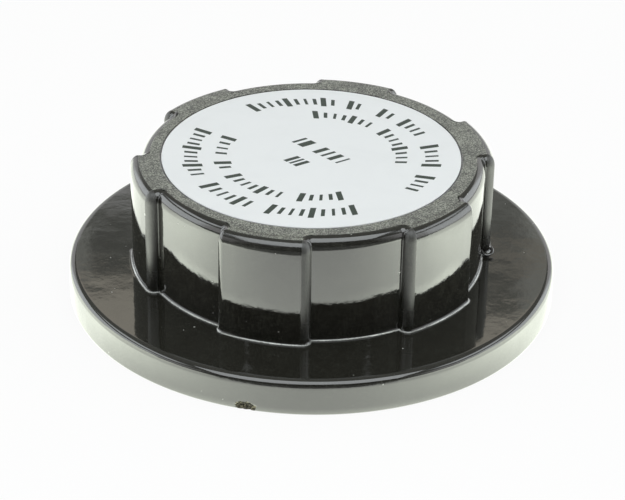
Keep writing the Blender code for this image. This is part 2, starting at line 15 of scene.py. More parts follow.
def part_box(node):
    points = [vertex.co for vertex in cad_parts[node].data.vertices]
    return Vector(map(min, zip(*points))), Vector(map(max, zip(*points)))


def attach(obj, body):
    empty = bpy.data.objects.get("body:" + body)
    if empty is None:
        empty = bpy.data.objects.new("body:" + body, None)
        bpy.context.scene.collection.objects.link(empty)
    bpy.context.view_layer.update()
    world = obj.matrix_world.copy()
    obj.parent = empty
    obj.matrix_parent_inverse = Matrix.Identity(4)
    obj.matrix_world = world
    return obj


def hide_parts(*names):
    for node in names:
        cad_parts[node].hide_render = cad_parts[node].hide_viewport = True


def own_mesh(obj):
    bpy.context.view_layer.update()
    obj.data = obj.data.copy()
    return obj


bl_info = {
    "name": "Radiator Cap",
    "version": (1, 0, 0),
    "blender": (4, 5, 0),
    "location": "3D View > Sidebar > Radiator Cap",
    "description": "Builds a screw-on pressure cap with its label, seals and valves, and a small studio",
    "category": "Add Mesh",
}

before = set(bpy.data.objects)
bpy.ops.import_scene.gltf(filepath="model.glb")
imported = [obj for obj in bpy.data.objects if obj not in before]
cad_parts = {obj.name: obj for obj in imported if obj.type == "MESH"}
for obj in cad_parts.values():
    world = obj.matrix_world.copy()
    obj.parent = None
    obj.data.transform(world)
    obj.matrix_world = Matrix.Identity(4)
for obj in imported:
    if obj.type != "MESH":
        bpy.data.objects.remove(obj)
SHELL_LOW, SHELL_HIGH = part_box("cap_shell")
LABEL_LOW, LABEL_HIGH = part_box("label_disc")

MILLIMETRES = 1000.0
NIL = 1e-7
STEP_COUNT = 6
PLAIN_WAYS = (-0.0030, -0.0022, -0.0016, -0.0011, -0.0007, -0.0004)
SHINY_STEPS = ((-2.30, -1.88), (-0.73, -0.30))
POCKET_PLAY = 0.00011
POCKET_FORWARD = 0.00009
OUTER_ROWS = ((122, 77), (72, 64), (55, 45), (40, 22), (12, -12), (-20, -38), (155, 205), (213, 243),
              (250, 293))
INNER_ROWS = ((90, 46), (38, -12), (156, 184), (191, 203), (210, 254), (262, 292))
MARK_LEAN = 0.16
SCREW_CIRCLE = 0.0115
O_RING_LOW, O_RING_HIGH = 0.0080, 0.0121
TABLE_END, TABLE_START = -0.104, -0.082
COOL_WHITE = (0.94, 0.985, 1.0)


# Sizes and colours

def length(name, description, default):
    return FloatProperty(name=name, description=description, default=default, min=0.0, precision=5,
                         subtype="DISTANCE", unit="LENGTH")


def turn(name, description, default):
    return FloatProperty(name=name, description=description, default=math.radians(default),
                         subtype="ANGLE", unit="ROTATION")


def share(name, description, default):
    return FloatProperty(name=name, description=description, default=default, min=0.0, max=1.0,
                         subtype="FACTOR")


def tint(name, description, default):
    return FloatVectorProperty(name=name, description=description, default=default, min=0.0, max=1.0,
                               size=3, subtype="COLOR")


class RadiatorCapShellSettings(PropertyGroup):
    flange_radius: length("Flange radius", "Outside radius of the wide flange", SHELL_HIGH.x)
    flange_height: length("Flange height", "Height of the flange's top above the rim", 0.0076)
    flange_edge: length("Flange edge", "Rounding of the flange's upper edge", 0.0015)
    grip_radius: length("Grip radius", "Outside radius of the grip's raised parts", 0.0376)
    recess_radius: length("Recess radius", "Radius of the grip between its raised parts", 0.03555)
    grip_corner: length("Grip corner", "Rounding of the raised parts' upright corners", 0.0017)
    grip_fillet: length("Grip edge", "Width of the rounding between the flat top and the grip's side", 0.0019)
    grip_brow: length("Grip edge height", "Height of the rounding between flat top and side", 0.0026)
    grip_foot: length("Grip foot", "Hollow rounding between grip and flange", 0.0006)
    ledge_radius: length("Ledge radius", "Where the raised parts' tops step down a little", 0.0347)
    thread_depth: length("Thread depth", "Height of the inner thread's ridge", 0.0015)
    thread_pitch: length("Thread pitch", "Climb of the inner thread in one turn", 0.0045)
    plastic: tint("Plastic", "Colour of the glossy moulding", (0.0046, 0.0041, 0.0029))
    flat_top: tint("Grained top", "Colour of the matte grained top", (0.153, 0.158, 0.132))
    film: tint("Dust film", "Paleness that thin dust gives to what faces up", (0.0118, 0.0114, 0.0094))
    gloss: share("Gloss roughness", "Roughness of the glossy plastic", 0.035)


class RadiatorCapLabelSettings(PropertyGroup):
    radius: length("Label radius", "Outside radius of the label", LABEL_HIGH.x)
    ring_low: length("Outer ring, inner radius", "Where the outer ring of marks begins", 0.0228)
    ring_high: length("Outer ring, outer radius", "Where the outer ring of marks ends", 0.0268)
    inner_low: length("Inner ring, inner radius", "Where the inner ring of marks begins", 0.0168)
    inner_high: length("Inner ring, outer radius", "Where the inner ring of marks ends", 0.0203)
    aside: length("Label offset", "How far the label sits off the axis, towards -X", 0.00037)
    mark_width: length("Mark width", "Width of one printed mark", 0.00062)
    film: tint("Film", "Colour of the white label film", (0.875, 0.884, 0.893))
    ink: tint("Ink", "Colour of the printed marks", (0.016, 0.030, 0.020))


class RadiatorCapCageSettings(PropertyGroup):
    window_corner: length("Window corner", "Rounding of the side windows' corners", 0.0012)
    screw_pitch: length("Screw pitch", "Pitch of the cage screws' threads", 0.0008)
    nylon: tint("Nylon", "Colour of the cage", (0.10, 0.10, 0.10))
    rubber: tint("Rubber", "Colour of the seals", (0.022, 0.022, 0.022))


class RadiatorCapValveSettings(PropertyGroup):
    plated: tint("Plated steel", "Colour of stamped and plated parts", (0.56, 0.55, 0.50))
    wire: tint("Spring steel", "Colour of the springs' wire", (0.42, 0.42, 0.41))
    brass: tint("Brass", "Colour of seat, eyelet and stem", (0.72, 0.53, 0.24))
    wire_sides: IntProperty(name="Wire sides", description="Faces round a spring's wire", default=14,
                            min=6, max=32)


class RadiatorCapStageSettings(PropertyGroup):
    camera_distance: length("Camera distance", "From the centre of the rim's plane", 0.48465)
    camera_height: turn("Camera elevation", "Angle of the camera above the floor", 30.548)
    camera_yaw: turn("Camera yaw", "Turn of the camera about its own upright", -0.023)
    camera_pitch: turn("Camera pitch", "Nod of the camera", 0.803)
    camera_roll: turn("Camera roll", "Tilt of the camera about its line of sight", -0.96)
    camera_lens: FloatProperty(name="Lens", description="Focal length of the camera", default=131.52,
                               unit="CAMERA")
    overhead: FloatProperty(name="Overhead radiance", description="Brightness of the overhead softbox",
                            default=2.0, min=0.0)
    flank: FloatProperty(name="Side radiance", description="Brightness of the two lit sides of the room",
                          default=2.2, min=0.0)
    bounce: FloatProperty(name="Bounce radiance", description="Brightness of the light off the table",
                          default=2.35, min=0.0)
    room: FloatProperty(name="Room", description="Brightness of the room above the backdrop",
                        default=0.23, min=0.0)
    floor: tint("Floor", "Colour of the floor", (0.9, 0.9, 0.9))


SETTINGS = {
    "radiator_cap_shell": RadiatorCapShellSettings,
    "radiator_cap_label": RadiatorCapLabelSettings,
    "radiator_cap_cage": RadiatorCapCageSettings,
    "radiator_cap_valve": RadiatorCapValveSettings,
    "radiator_cap_stage": RadiatorCapStageSettings,
}


def settings_label():
    """The label's sizes, which its pocket in the shell follows."""
    return bpy.context.scene.radiator_cap_label


# Mesh helpers

def polar(radius, angle, height):
    return Vector((radius * math.cos(angle), radius * math.sin(angle), height))


def ease(low, high, value):
    """0 below low, 1 above high and a smooth ramp between."""
    t = min(max((value - low) / (high - low), 0.0), 1.0)
    return t * t * (3 - 2 * t)


def reach(node):
    """Outside radius, lowest and highest height of a round node of the frame."""
    low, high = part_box(node)
    return max(high.x, -low.x), low.z, high.z


def spaced(start, end, count):
    """Values from start to end, both included."""
    return [start + (end - start) * k / (count - 1) for k in range(count)]


def ring_section(inner, outer, low, high):
    return [(inner, low), (outer, low), (outer, high), (inner, high)]


def softened(points, radius, steps=3):
    """A closed profile with every corner that is off the axis rounded."""
    made = []
    for k, (r, z) in enumerate(points):
        here = Vector((r, z))
        before, after = Vector(points[k - 1]), Vector(points[(k + 1) % len(points)])
        if r < NIL:
            made.append((r, z))
            continue
        cut_before = min(radius, 0.45 * (before - here).length)
        cut_after = min(radius, 0.45 * (after - here).length)
        start = here + (before - here).normalized() * cut_before
        end = here + (after - here).normalized() * cut_after
        for t in spaced(0.0, 1.0, steps + 1):
            point = start * (1 - t) ** 2 + here * 2 * t * (1 - t) + end * t ** 2
            made.append((point.x, point.y))
    return made


def keep_sharp_faces(mesh, angle):
    mesh.shade_smooth()
    mesh.set_sharp_from_angle(angle=math.radians(angle))


def new_piece(name, bm, sharp=40.0):
    """An object in the scene from a bmesh, with its faces turned outwards and even shading."""
    bmesh.ops.recalc_face_normals(bm, faces=bm.faces)
    mesh = bpy.data.meshes.new(name)
    bm.to_mesh(mesh)
    bm.free()
    keep_sharp_faces(mesh, sharp)
    piece = bpy.data.objects.new(name, mesh)
    bpy.context.scene.collection.objects.link(piece)
    return piece


def weigh_normals(piece):
    """Flat faces stay flat in the reflections, and small rounded edges take up the turn."""
    modifier = piece.modifiers.new("weighted_normals", "WEIGHTED_NORMAL")
    modifier.mode = "FACE_AREA"
    modifier.keep_sharp = True
    modifier.weight = 60
    return piece


def skin(bm, loops, closed=False, capped=False):
    """Quads between neighbouring loops of vertices; a loop may be one vertex repeated."""
    pairs = list(zip(loops, loops[1:]))
    if closed:
        pairs.append((loops[-1], loops[0]))
    for lower, upper in pairs:
        for k in range(len(lower)):
            j = (k + 1) % len(lower)
            corners = list(dict.fromkeys((lower[k], lower[j], upper[j], upper[k])))
            if len(corners) > 2:
                bm.faces.new(corners)
    if capped:
        bm.faces.new(loops[0])
        bm.faces.new(loops[-1])


def round_loop(bm, radius, height, count, shift=Vector()):
    """Vertices round an upright axis, or one vertex repeated where the radius is nil."""
    if radius < NIL:
        return [bm.verts.new(shift + Vector((0, 0, height)))] * count
    return [bm.verts.new(shift + polar(radius, math.tau * k / count, height)) for k in range(count)]


def turned(name, profile, segments, closed=True):
    """A profile of (radius, height) turned about the cap's axis."""
    bm = bmesh.new()
    skin(bm, [round_loop(bm, radius, height, segments) for radius, height in profile], closed)
    return new_piece(name, bm)


def swept(bm, path, radius, sides, squash=1.0):
    """A round rod along a path of points, added to a bmesh."""
    loops = []
    up = Vector((0, 0, 1))
    for k, point in enumerate(path):
        ahead = path[min(k + 1, len(path) - 1)] - path[max(k - 1, 0)]
        across = ahead.cross(up).normalized()
        over = across.cross(ahead).normalized() * squash
        loops.append([bm.verts.new(point + radius * (across * math.cos(a) + over * math.sin(a)))
                      for a in (math.tau * s / sides for s in range(sides))])
    skin(bm, loops, capped=True)


def settle(piece):
    """Makes what the piece's modifiers do part of its own mesh."""
    depsgraph = bpy.context.evaluated_depsgraph_get()
    settled = bpy.data.meshes.new_from_object(piece.evaluated_get(depsgraph))
    piece.modifiers.clear()
    piece.data = settled
    return piece


def carve(piece, tool, sharp=40.0, own_finish=False):
    """Cuts the tool's shape out of the piece and removes the tool; the cut may keep the tool's finish."""
    modifier = piece.modifiers.new("carve", "BOOLEAN")
    modifier.operation = "DIFFERENCE"
    modifier.solver = "EXACT"
    modifier.material_mode = "TRANSFER" if own_finish else "INDEX"
    modifier.object = tool
    settle(piece)
    if not piece.data.polygons:
        raise RuntimeError(f"Nothing is left of {piece.name} after its cut")
    bpy.data.objects.remove(tool, do_unlink=True)
    keep_sharp_faces(piece.data, sharp)
    return piece


def seat(piece, body, node, slot):
    """Gives the piece its slot's finish, lets it ride on its body and stand for its solid."""
    piece.data.materials.clear()
    piece.data.materials.append(material_named(slot))
    weigh_normals(piece)
    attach(piece, body)
    if node:
        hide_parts(node)
    return piece


def turn_and_seat(name, body, node, slot, points, rounding, segments, closed=True):
    """A turned piece with rounded corners, in the place of its solid."""
    return seat(turned(name, softened(points, rounding), segments, closed), body, node, slot)


# Shading helpers

FINISH = "finish_"


def put(tree, kind, values=None, **options):
    """Adds a node, sets its options and fills its inputs with values or links."""
    made = tree.nodes.new(kind)
    for name, option in options.items():
        setattr(made, name, option)
    for key, value in (values or {}).items():
        socket = made.inputs[key]
        if isinstance(value, NodeSocket):
            tree.links.new(value, socket)
        else:
            socket.default_value = value
    return made


def maths(tree, operation, *values, clamp=False):
    made = put(tree, "ShaderNodeMath", dict(enumerate(values)), operation=operation, use_clamp=clamp)
    return made.outputs[0]


def times(tree, first, second):
    return maths(tree, "MULTIPLY", first, second)


def total(tree, first, second, clamp=False):
    return maths(tree, "ADD", first, second, clamp=clamp)


def ramp(tree, value, low, high, to_low=0.0, to_high=1.0):
    """A smooth step between two values."""
    made = put(tree, "ShaderNodeMapRange", {"Value": value, "From Min": low, "From Max": high,
                                            "To Min": to_low, "To Max": to_high},
               interpolation_type="SMOOTHSTEP")
    return made.outputs[0]


def blend_colour(tree, factor, first, second):
    made = put(tree, "ShaderNodeMix", data_type="RGBA")
    for index, value in ((0, factor), (6, first), (7, second)):
        if isinstance(value, NodeSocket):
            tree.links.new(value, made.inputs[index])
        elif index == 0:
            made.inputs[index].default_value = value
        else:
            made.inputs[index].default_value = (*value[:3], 1.0)
    return made.outputs[2]


def blend_value(tree, factor, first, second):
    return put(tree, "ShaderNodeMix", {0: factor, 2: first, 3: second}, data_type="FLOAT").outputs[0]


def new_group(name, inputs, outputs):
    """An empty node group with named sockets; inputs are (kind, name, default)."""
    group = bpy.data.node_groups.new(name, "ShaderNodeTree")
    for kind, label, default in inputs:
        socket = group.interface.new_socket(name=label, in_out="INPUT", socket_type="NodeSocket" + kind)
        if default is not None:
            socket.default_value = default
    for kind, label in outputs:
        group.interface.new_socket(name=label, in_out="OUTPUT", socket_type="NodeSocket" + kind)
    return group, group.nodes.new("NodeGroupInput").outputs, group.nodes.new("NodeGroupOutput").inputs


def place_group(tree, name, values):
    made = tree.nodes.new("ShaderNodeGroup")
    made.node_tree = bpy.data.node_groups[name]
    for key, value in values.items():
        if isinstance(value, NodeSocket):
            tree.links.new(value, made.inputs[key])
        else:
            made.inputs[key].default_value = value
    return made.outputs


def make_moulded_grain():
    """Fine leathery grain, as on a spark-eroded mould: height and mottled tone."""
    group, given, result = new_group(
        "Moulded Grain", [("Vector", "Millimetres", None), ("Float", "Grain Size", 0.3)],
        [("Float", "Height"), ("Float", "Tone")])
    fine = maths(group, "DIVIDE", 1.0, given["Grain Size"])
    pits = put(group, "ShaderNodeTexVoronoi", {"Vector": given["Millimetres"], "Scale": fine},
               feature="SMOOTH_F1")
    grit = put(group, "ShaderNodeTexNoise", {"Vector": given["Millimetres"], "Scale": fine,
                                             "Detail": 3.0, "Roughness": 0.65})
    cloud = put(group, "ShaderNodeTexNoise", {"Vector": given["Millimetres"], "Scale": 0.35, "Detail": 2.0})
    height = total(group, times(group, pits.outputs["Distance"], 0.7), grit.outputs[0])
    tone = total(group, times(group, grit.outputs[0], 0.86),
                 times(group, cloud.outputs[0], 0.14))
    group.links.new(height, result["Height"])
    group.links.new(tone, result["Tone"])


def make_dust_specks():
    """A few small specks of dust, each in its own cell: mask and height."""
    group, given, result = new_group(
        "Dust Specks", [("Vector", "Millimetres", None), ("Float", "Spacing", 2.0),
                        ("Float", "Speck Size", 0.06), ("Float", "Share", 0.3)],
        [("Float", "Mask"), ("Float", "Height")])
    stir = put(group, "ShaderNodeTexNoise", {"Vector": given["Millimetres"], "Scale": 6.0, "Detail": 1.0})
    shift = put(group, "ShaderNodeVectorMath", {0: stir.outputs[1], 1: (0.5, 0.5, 0.5)},
                operation="SUBTRACT")
    small = put(group, "ShaderNodeVectorMath", {0: shift.outputs[0], "Scale": 0.09}, operation="SCALE")
    moved = put(group, "ShaderNodeVectorMath", {0: given["Millimetres"], 1: small.outputs[0]})
    scale = maths(group, "DIVIDE", 1.0, given["Spacing"])
    cells = put(group, "ShaderNodeTexVoronoi", {"Vector": moved.outputs[0], "Scale": scale})
    parts = put(group, "ShaderNodeSeparateColor", {0: cells.outputs["Color"]})
    away = times(group, cells.outputs["Distance"], given["Spacing"])
    size = times(group, given["Speck Size"],
                 total(group, 0.4, maths(group, "POWER", parts.outputs[1], 3.0)))
    inside = maths(group, "LESS_THAN", away, size)
    chosen = maths(group, "LESS_THAN", parts.outputs[0], given["Share"])
    mask = times(group, inside, chosen)
    group.links.new(mask, result["Mask"])
    group.links.new(times(group, mask, maths(group, "SUBTRACT", 1.0, maths(
        group, "DIVIDE", away, size))), result["Height"])


def make_handling_marks():
    """Smudges and hairline scratches from handling: a smudge mask and a scratch mask."""
    group, given, result = new_group(
        "Handling Marks", [("Vector", "Millimetres", None), ("Float", "Smudge Size", 9.0),
                           ("Float", "Scratch Share", 0.04)],
        [("Float", "Smudge"), ("Float", "Scratch")])
    cloud = put(group, "ShaderNodeTexNoise", {
        "Vector": given["Millimetres"], "Scale": maths(group, "DIVIDE", 1.0, given["Smudge Size"]),
        "Detail": 4.0, "Roughness": 0.6, "Distortion": 0.6})
    group.links.new(ramp(group, cloud.outputs[0], 0.42, 0.72), result["Smudge"])
    scratches = None
    for spin, stretch in ((0.5, (0.05, 2.6, 2.6)), (1.9, (2.6, 0.06, 2.6))):
        aimed = put(group, "ShaderNodeMapping", {"Vector": given["Millimetres"],
                                                 "Rotation": (0.2, 0.1, spin), "Scale": stretch})
        lines = put(group, "ShaderNodeTexNoise", {"Vector": aimed.outputs[0], "Scale": 1.4, "Detail": 1.0})
        near = maths(group, "ABSOLUTE", maths(group, "SUBTRACT", lines.outputs[0], 0.62))
        line = maths(group, "LESS_THAN", near, times(group, given["Scratch Share"], 0.1))
        scratches = line if scratches is None else maths(group, "MAXIMUM", scratches, line)
    group.links.new(scratches, result["Scratch"])


def make_turned_marks():
    """Rings left by turning or stamping about the cap's axis: height and tone."""
    group, given, result = new_group(
        "Turned Marks", [("Vector", "Millimetres", None), ("Float", "Ring Spacing", 0.12)],
        [("Float", "Height"), ("Float", "Tone")])
    parts = put(group, "ShaderNodeSeparateXYZ", {0: given["Millimetres"]})
    flat = put(group, "ShaderNodeCombineXYZ", {0: parts.outputs[0], 1: parts.outputs[1]})
    radius = put(group, "ShaderNodeVectorMath", {0: flat.outputs[0]}, operation="LENGTH")
    bearing = maths(group, "ARCTAN2", parts.outputs[1], parts.outputs[0])
    rings = put(group, "ShaderNodeCombineXYZ", {
        0: maths(group, "DIVIDE", radius.outputs["Value"], given["Ring Spacing"]),
        1: times(group, bearing, 0.8),
        2: maths(group, "DIVIDE", parts.outputs[2], given["Ring Spacing"])})
    lines = put(group, "ShaderNodeTexNoise", {"Vector": rings.outputs[0], "Scale": 0.6, "Detail": 2.0})
    group.links.new(lines.outputs[0], result["Height"])
    group.links.new(ramp(group, lines.outputs[0], 0.3, 0.7), result["Tone"])


def make_tarnish():
    """Cloudy staining on metal: a mask that is strongest in soft patches."""
    group, given, result = new_group(
        "Tarnish", [("Vector", "Millimetres", None), ("Float", "Patch Size", 3.0)], [("Float", "Mask")])
    cloud = put(group, "ShaderNodeTexNoise", {
        "Vector": given["Millimetres"], "Scale": maths(group, "DIVIDE", 1.0, given["Patch Size"]),
        "Detail": 5.0, "Roughness": 0.65})
    group.links.new(ramp(group, cloud.outputs[0], 0.38, 0.68), result["Mask"])


def make_groups():
    for maker in (make_moulded_grain, make_dust_specks, make_handling_marks, make_turned_marks, make_tarnish):
        maker()


def grain_on(tree, points, size):
    return place_group(tree, "Moulded Grain", {"Millimetres": points, "Grain Size": size})


def dust_on(tree, points, spacing, size, part):
    return place_group(tree, "Dust Specks", {"Millimetres": points, "Spacing": spacing, "Speck Size": size,
                                             "Share": part})


def marks_on(tree, points, smudge, scratches):
    return place_group(tree, "Handling Marks", {"Millimetres": points, "Smudge Size": smudge,
                                                "Scratch Share": scratches})


def start_material(name, colour, roughness, **values):
    """A material with plain values on its shader, and its points in millimetres for the textures."""
    material = bpy.data.materials.new(FINISH + name)
    material.use_nodes = True
    material.diffuse_color = (*colour[:3], 1.0)
    tree = material.node_tree
    shader = tree.nodes["Principled BSDF"]
    shader.inputs["Base Color"].default_value = (*colour[:3], 1.0)
    shader.inputs["Roughness"].default_value = roughness
    for key, value in values.items():
        shader.inputs[key.replace("_", " ")].default_value = value
    where = put(tree, "ShaderNodeTexCoord")
    scaled = put(tree, "ShaderNodeVectorMath", {0: where.outputs["Object"], "Scale": MILLIMETRES},
                 operation="SCALE")
    return material, tree, shader, scaled.outputs[0], where.outputs["Normal"]


def bump(tree, shader, height, distance):
    made = put(tree, "ShaderNodeBump", {"Height": height, "Distance": distance, "Strength": 1.0})
    tree.links.new(made.outputs[0], shader.inputs["Normal"])


def grained_flat(tree, points, height, facing):
    """1 on the flat top outside the label's pocket, 0 on the pocket's lip and on every other face."""
    top = MILLIMETRES * SHELL_HIGH.z
    label = settings_label()
    middle = (-MILLIMETRES * label.aside, -MILLIMETRES * POCKET_FORWARD, top)
    pocket = MILLIMETRES * (label.radius + POCKET_PLAY)
    from_label = put(tree, "ShaderNodeVectorMath", {0: points, 1: middle}, operation="DISTANCE")
    level = times(tree, ramp(tree, facing, 0.9965, 0.9995),
                  ramp(tree, from_label.outputs["Value"], pocket + 0.16, pocket + 0.24))
    return times(tree, ramp(tree, height, top - 0.35, top - 0.2), level)


def satin_edges(tree, settings, spot):
    """How satin the grip's upper edge and upright corners are; the corners of two steps stay shiny."""
    height = spot.outputs[2]
    top = MILLIMETRES * SHELL_HIGH.z
    flange = MILLIMETRES * settings.flange_height
    rim = MILLIMETRES * settings.recess_radius
    across = put(tree, "ShaderNodeCombineXYZ", {0: spot.outputs[0], 1: spot.outputs[1]})
    out = put(tree, "ShaderNodeVectorMath", {0: across.outputs[0]}, operation="LENGTH").outputs["Value"]
    proud = ramp(tree, out, rim - 0.1, rim + 0.3, 0.4, 1.0)
    edge = times(tree, ramp(tree, height, top - 2.8, top - 2.0), ramp(tree, out, rim - 1.9, rim - 1.6))
    upper = times(tree, proud, edge)
    bearing = maths(tree, "ARCTAN2", spot.outputs[1], spot.outputs[0])
    step = maths(tree, "ABSOLUTE", maths(tree, "SINE", times(tree, bearing, float(STEP_COUNT))))
    wall = times(tree, ramp(tree, out, rim + 0.15, rim + 0.4), ramp(tree, height, flange + 0.8, flange + 1.6))
    upright_corner = times(tree, ramp(tree, step, 0.34, 0.27), wall)
    shiny = maths(tree, "MAXIMUM", *(window(tree, bearing, start, end, 0.03) for start, end in SHINY_STEPS))
    worn = times(tree, ramp(tree, height, 9.0, 23.0, 0.35, 0.85),
                 maths(tree, "SUBTRACT", 1.0, times(tree, shiny, 0.8)))
    return maths(tree, "MAXIMUM", times(tree, upper, 0.20), times(tree, upright_corner, worn))


def glossy_skin(tree, settings, points, height, facing, tone):
    """The moulding's colour: filmed with dust where it faces up, with a painted highlight along the grip's
    foot.
    """
    filmed = tuple(a + b for a, b in zip(settings.plastic, settings.film))
    colour = blend_colour(tree, ramp(tree, facing, 0.7, 0.98), settings.plastic, filmed)
    flange = MILLIMETRES * settings.flange_height
    # Painted highlight: a pale band just above the flange, on the grip's foot rounding, where the overhead
    # light's reflection would sit.
    foot = times(tree, ramp(tree, height, flange + 0.03, flange + 0.07),
                 ramp(tree, height, flange + 0.26, flange + 0.16))
    highlight_drift = ramp(tree, put(tree, "ShaderNodeTexNoise", {"Vector": points, "Scale": 0.12}).outputs[0],
                 0.40, 0.62, 0.35, 1.0)
    # Paints that highlight in pale grey (0.80, 0.81, 0.77), stronger and weaker along its length.
    colour = blend_colour(tree, times(tree, foot, highlight_drift), colour, (0.80, 0.81, 0.77))
    return blend_colour(tree, ramp(tree, tone, 0.47, 0.66), colour, (0.034, 0.034, 0.028))


def make_gloss_black(settings):
    """Glossy black plastic with smudges and dust; its flat top is matte and grained."""
    material, tree, shader, points, normal = start_material(
        "gloss_black_nylon", settings.plastic, settings.gloss, IOR=2.0)
    spot = put(tree, "ShaderNodeSeparateXYZ", {0: points})
    height = spot.outputs[2]
    facing = put(tree, "ShaderNodeSeparateXYZ", {0: normal}).outputs[2]
    flat = grained_flat(tree, points, height, facing)
    satin_edge = satin_edges(tree, settings, spot)
    grain = grain_on(tree, points, 0.25)
    marks = marks_on(tree, points, 8.0, 0.03)
    specks = maths(tree, "MAXIMUM", dust_on(tree, points, 3.4, 0.21, 0.30)["Mask"],
                   dust_on(tree, points, 1.4, 0.11, 0.16)["Mask"])

    dark_top, light_top = (tuple(factor * part for part in settings.flat_top) for factor in (0.08, 2.5))
    grained = blend_colour(tree, ramp(tree, grain["Tone"], 0.44, 0.61), dark_top, light_top)
    glossy = glossy_skin(tree, settings, points, height, facing, grain["Tone"])
    body = blend_colour(tree, flat, glossy, grained)
    tree.links.new(blend_colour(tree, times(tree, specks, 0.75), body, (0.72, 0.72, 0.68)),
                   shader.inputs["Base Color"])

    shine = total(tree, settings.gloss, times(tree, marks["Smudge"], 0.03))
    scuffed = total(tree, shine, times(tree, marks["Scratch"], 0.03))
    satin = total(tree, scuffed, times(tree, satin_edge, 0.55))
    tree.links.new(total(tree, blend_value(tree, flat, satin, 0.46),
                         times(tree, specks, 0.5), clamp=True), shader.inputs["Roughness"])

    smooth = times(tree, specks, 0.5)
    for scale, height_share in ((0.16, 0.5), (0.8, 0.09), (4.5, 0.026)):
        swell = put(tree, "ShaderNodeTexNoise", {"Vector": points, "Scale": scale, "Detail": 1.0})
        smooth = total(tree, smooth, times(tree, swell.outputs[0], height_share))
    upright = ramp(tree, facing, 0.1, 0.8, 2.2, 0.7)
    uneven = total(tree, times(tree, smooth, upright),
                   times(tree, times(tree, satin_edge, grain["Height"]), 0.3))
    bump(tree, shader, blend_value(tree, flat, uneven, grain["Height"]), 0.00006)
    return material


def make_vinyl(settings):
    """White label film: satin, with a faint tooth and a few specks."""
    material, tree, shader, points, _ = start_material("white_vinyl", settings.film, 0.38, IOR=1.46)
    grain = grain_on(tree, points, 0.5)
    dust = dust_on(tree, points, 3.6, 0.12, 0.25)
    marks = marks_on(tree, points, 12.0, 0.02)
    soft = tuple(0.965 * part for part in settings.film)
    cloudy = blend_colour(tree, times(tree, marks["Smudge"], 0.6), settings.film, soft)
    tree.links.new(blend_colour(tree, times(tree, dust["Mask"], 0.35), cloudy,
                                (0.45, 0.45, 0.42)), shader.inputs["Base Color"])
    tree.links.new(blend_value(tree, marks["Smudge"], 0.34, 0.46), shader.inputs["Roughness"])
    bump(tree, shader, grain["Height"], 0.000006)
    return material


def make_ink(settings):
    """Screen-printed ink, a little uneven."""
    material, tree, shader, points, _ = start_material("dark_ink", settings.ink, 0.42, IOR=1.5)
    grain = grain_on(tree, points, 0.22)
    thin = tuple(2.4 * part + 0.01 for part in settings.ink)
    tree.links.new(blend_colour(tree, ramp(tree, grain["Tone"], 0.45, 0.75), settings.ink, thin),
                   shader.inputs["Base Color"])
    bump(tree, shader, grain["Height"], 0.000008)
    return material


def make_rubber(settings):
    """Black rubber with a dull bloom."""
    material, tree, shader, points, _ = start_material("black_rubber", settings.rubber, 0.62, IOR=1.5)
    grain = grain_on(tree, points, 0.25)
    marks = marks_on(tree, points, 3.0, 0.0)
    bloom = tuple(1.9 * part + 0.006 for part in settings.rubber)
    tree.links.new(blend_colour(tree, marks["Smudge"], settings.rubber, bloom),
                   shader.inputs["Base Color"])
    tree.links.new(blend_value(tree, marks["Smudge"], 0.52, 0.74), shader.inputs["Roughness"])
    bump(tree, shader, grain["Height"], 0.00002)
    return material


def make_nylon(settings):
    """Satin grey nylon of the cage, mottled by its glass filling."""
    material, tree, shader, points, _ = start_material("grey_nylon", settings.nylon, 0.45, IOR=1.53)
    grain = grain_on(tree, points, 0.45)
    marks = marks_on(tree, points, 5.0, 0.03)
    pale = tuple(1.3 * part for part in settings.nylon)
    dark = tuple(0.75 * part for part in settings.nylon)
    tree.links.new(blend_colour(tree, ramp(tree, grain["Tone"], 0.35, 0.65), dark, pale),
                   shader.inputs["Base Color"])
    tree.links.new(blend_value(tree, marks["Smudge"], 0.38, 0.52), shader.inputs["Roughness"])
    bump(tree, shader, total(tree, grain["Height"], marks["Scratch"]), 0.000015)
    return material


def make_metal(name, colour, stain, low, high, spacing):
    """Turned or stamped metal with rings, stains and fine scratches."""
    material, tree, shader, points, _ = start_material(name, colour, low, Metallic=1.0)
    rings = place_group(tree, "Turned Marks", {"Millimetres": points, "Ring Spacing": spacing})
    cloud = place_group(tree, "Tarnish", {"Millimetres": points, "Patch Size": 2.6})
    marks = marks_on(tree, points, 3.0, 0.05)
    bright = tuple(min(1.0, 1.12 * part) for part in colour)
    worked = blend_colour(tree, rings["Tone"], colour, bright)
    tree.links.new(blend_colour(tree, times(tree, cloud["Mask"], 0.55), worked, stain),
                   shader.inputs["Base Color"])
    tree.links.new(blend_value(tree, cloud["Mask"], low, high), shader.inputs["Roughness"])
    bump(tree, shader, total(tree, rings["Height"], marks["Scratch"]), 0.000006)
    return material


def material_named(name):
    """The finish of a material slot, made when it is first asked for."""
    made = bpy.data.materials.get(FINISH + name)
    if made is not None:
        return made
    if "Moulded Grain" not in bpy.data.node_groups:
        make_groups()
    scene = bpy.context.scene
    valve = scene.radiator_cap_valve
    makers = {
        "gloss_black_nylon": lambda: make_gloss_black(scene.radiator_cap_shell),
        "white_vinyl": lambda: make_vinyl(scene.radiator_cap_label),
        "dark_ink": lambda: make_ink(scene.radiator_cap_label),
        "black_rubber": lambda: make_rubber(scene.radiator_cap_cage),
        "grey_nylon": lambda: make_nylon(scene.radiator_cap_cage),
        "plated_steel": lambda: make_metal(name, valve.plated, (0.40, 0.38, 0.31), 0.26, 0.42, 0.16),
        "spring_steel": lambda: make_metal(name, valve.wire, (0.24, 0.23, 0.21), 0.24, 0.38, 0.1),
        "brass": lambda: make_metal(name, valve.brass, (0.42, 0.27, 0.11), 0.22, 0.40, 0.14),
    }
    return makers[name]()


# Shell

def half_turn_of_step():
    return math.pi / STEP_COUNT


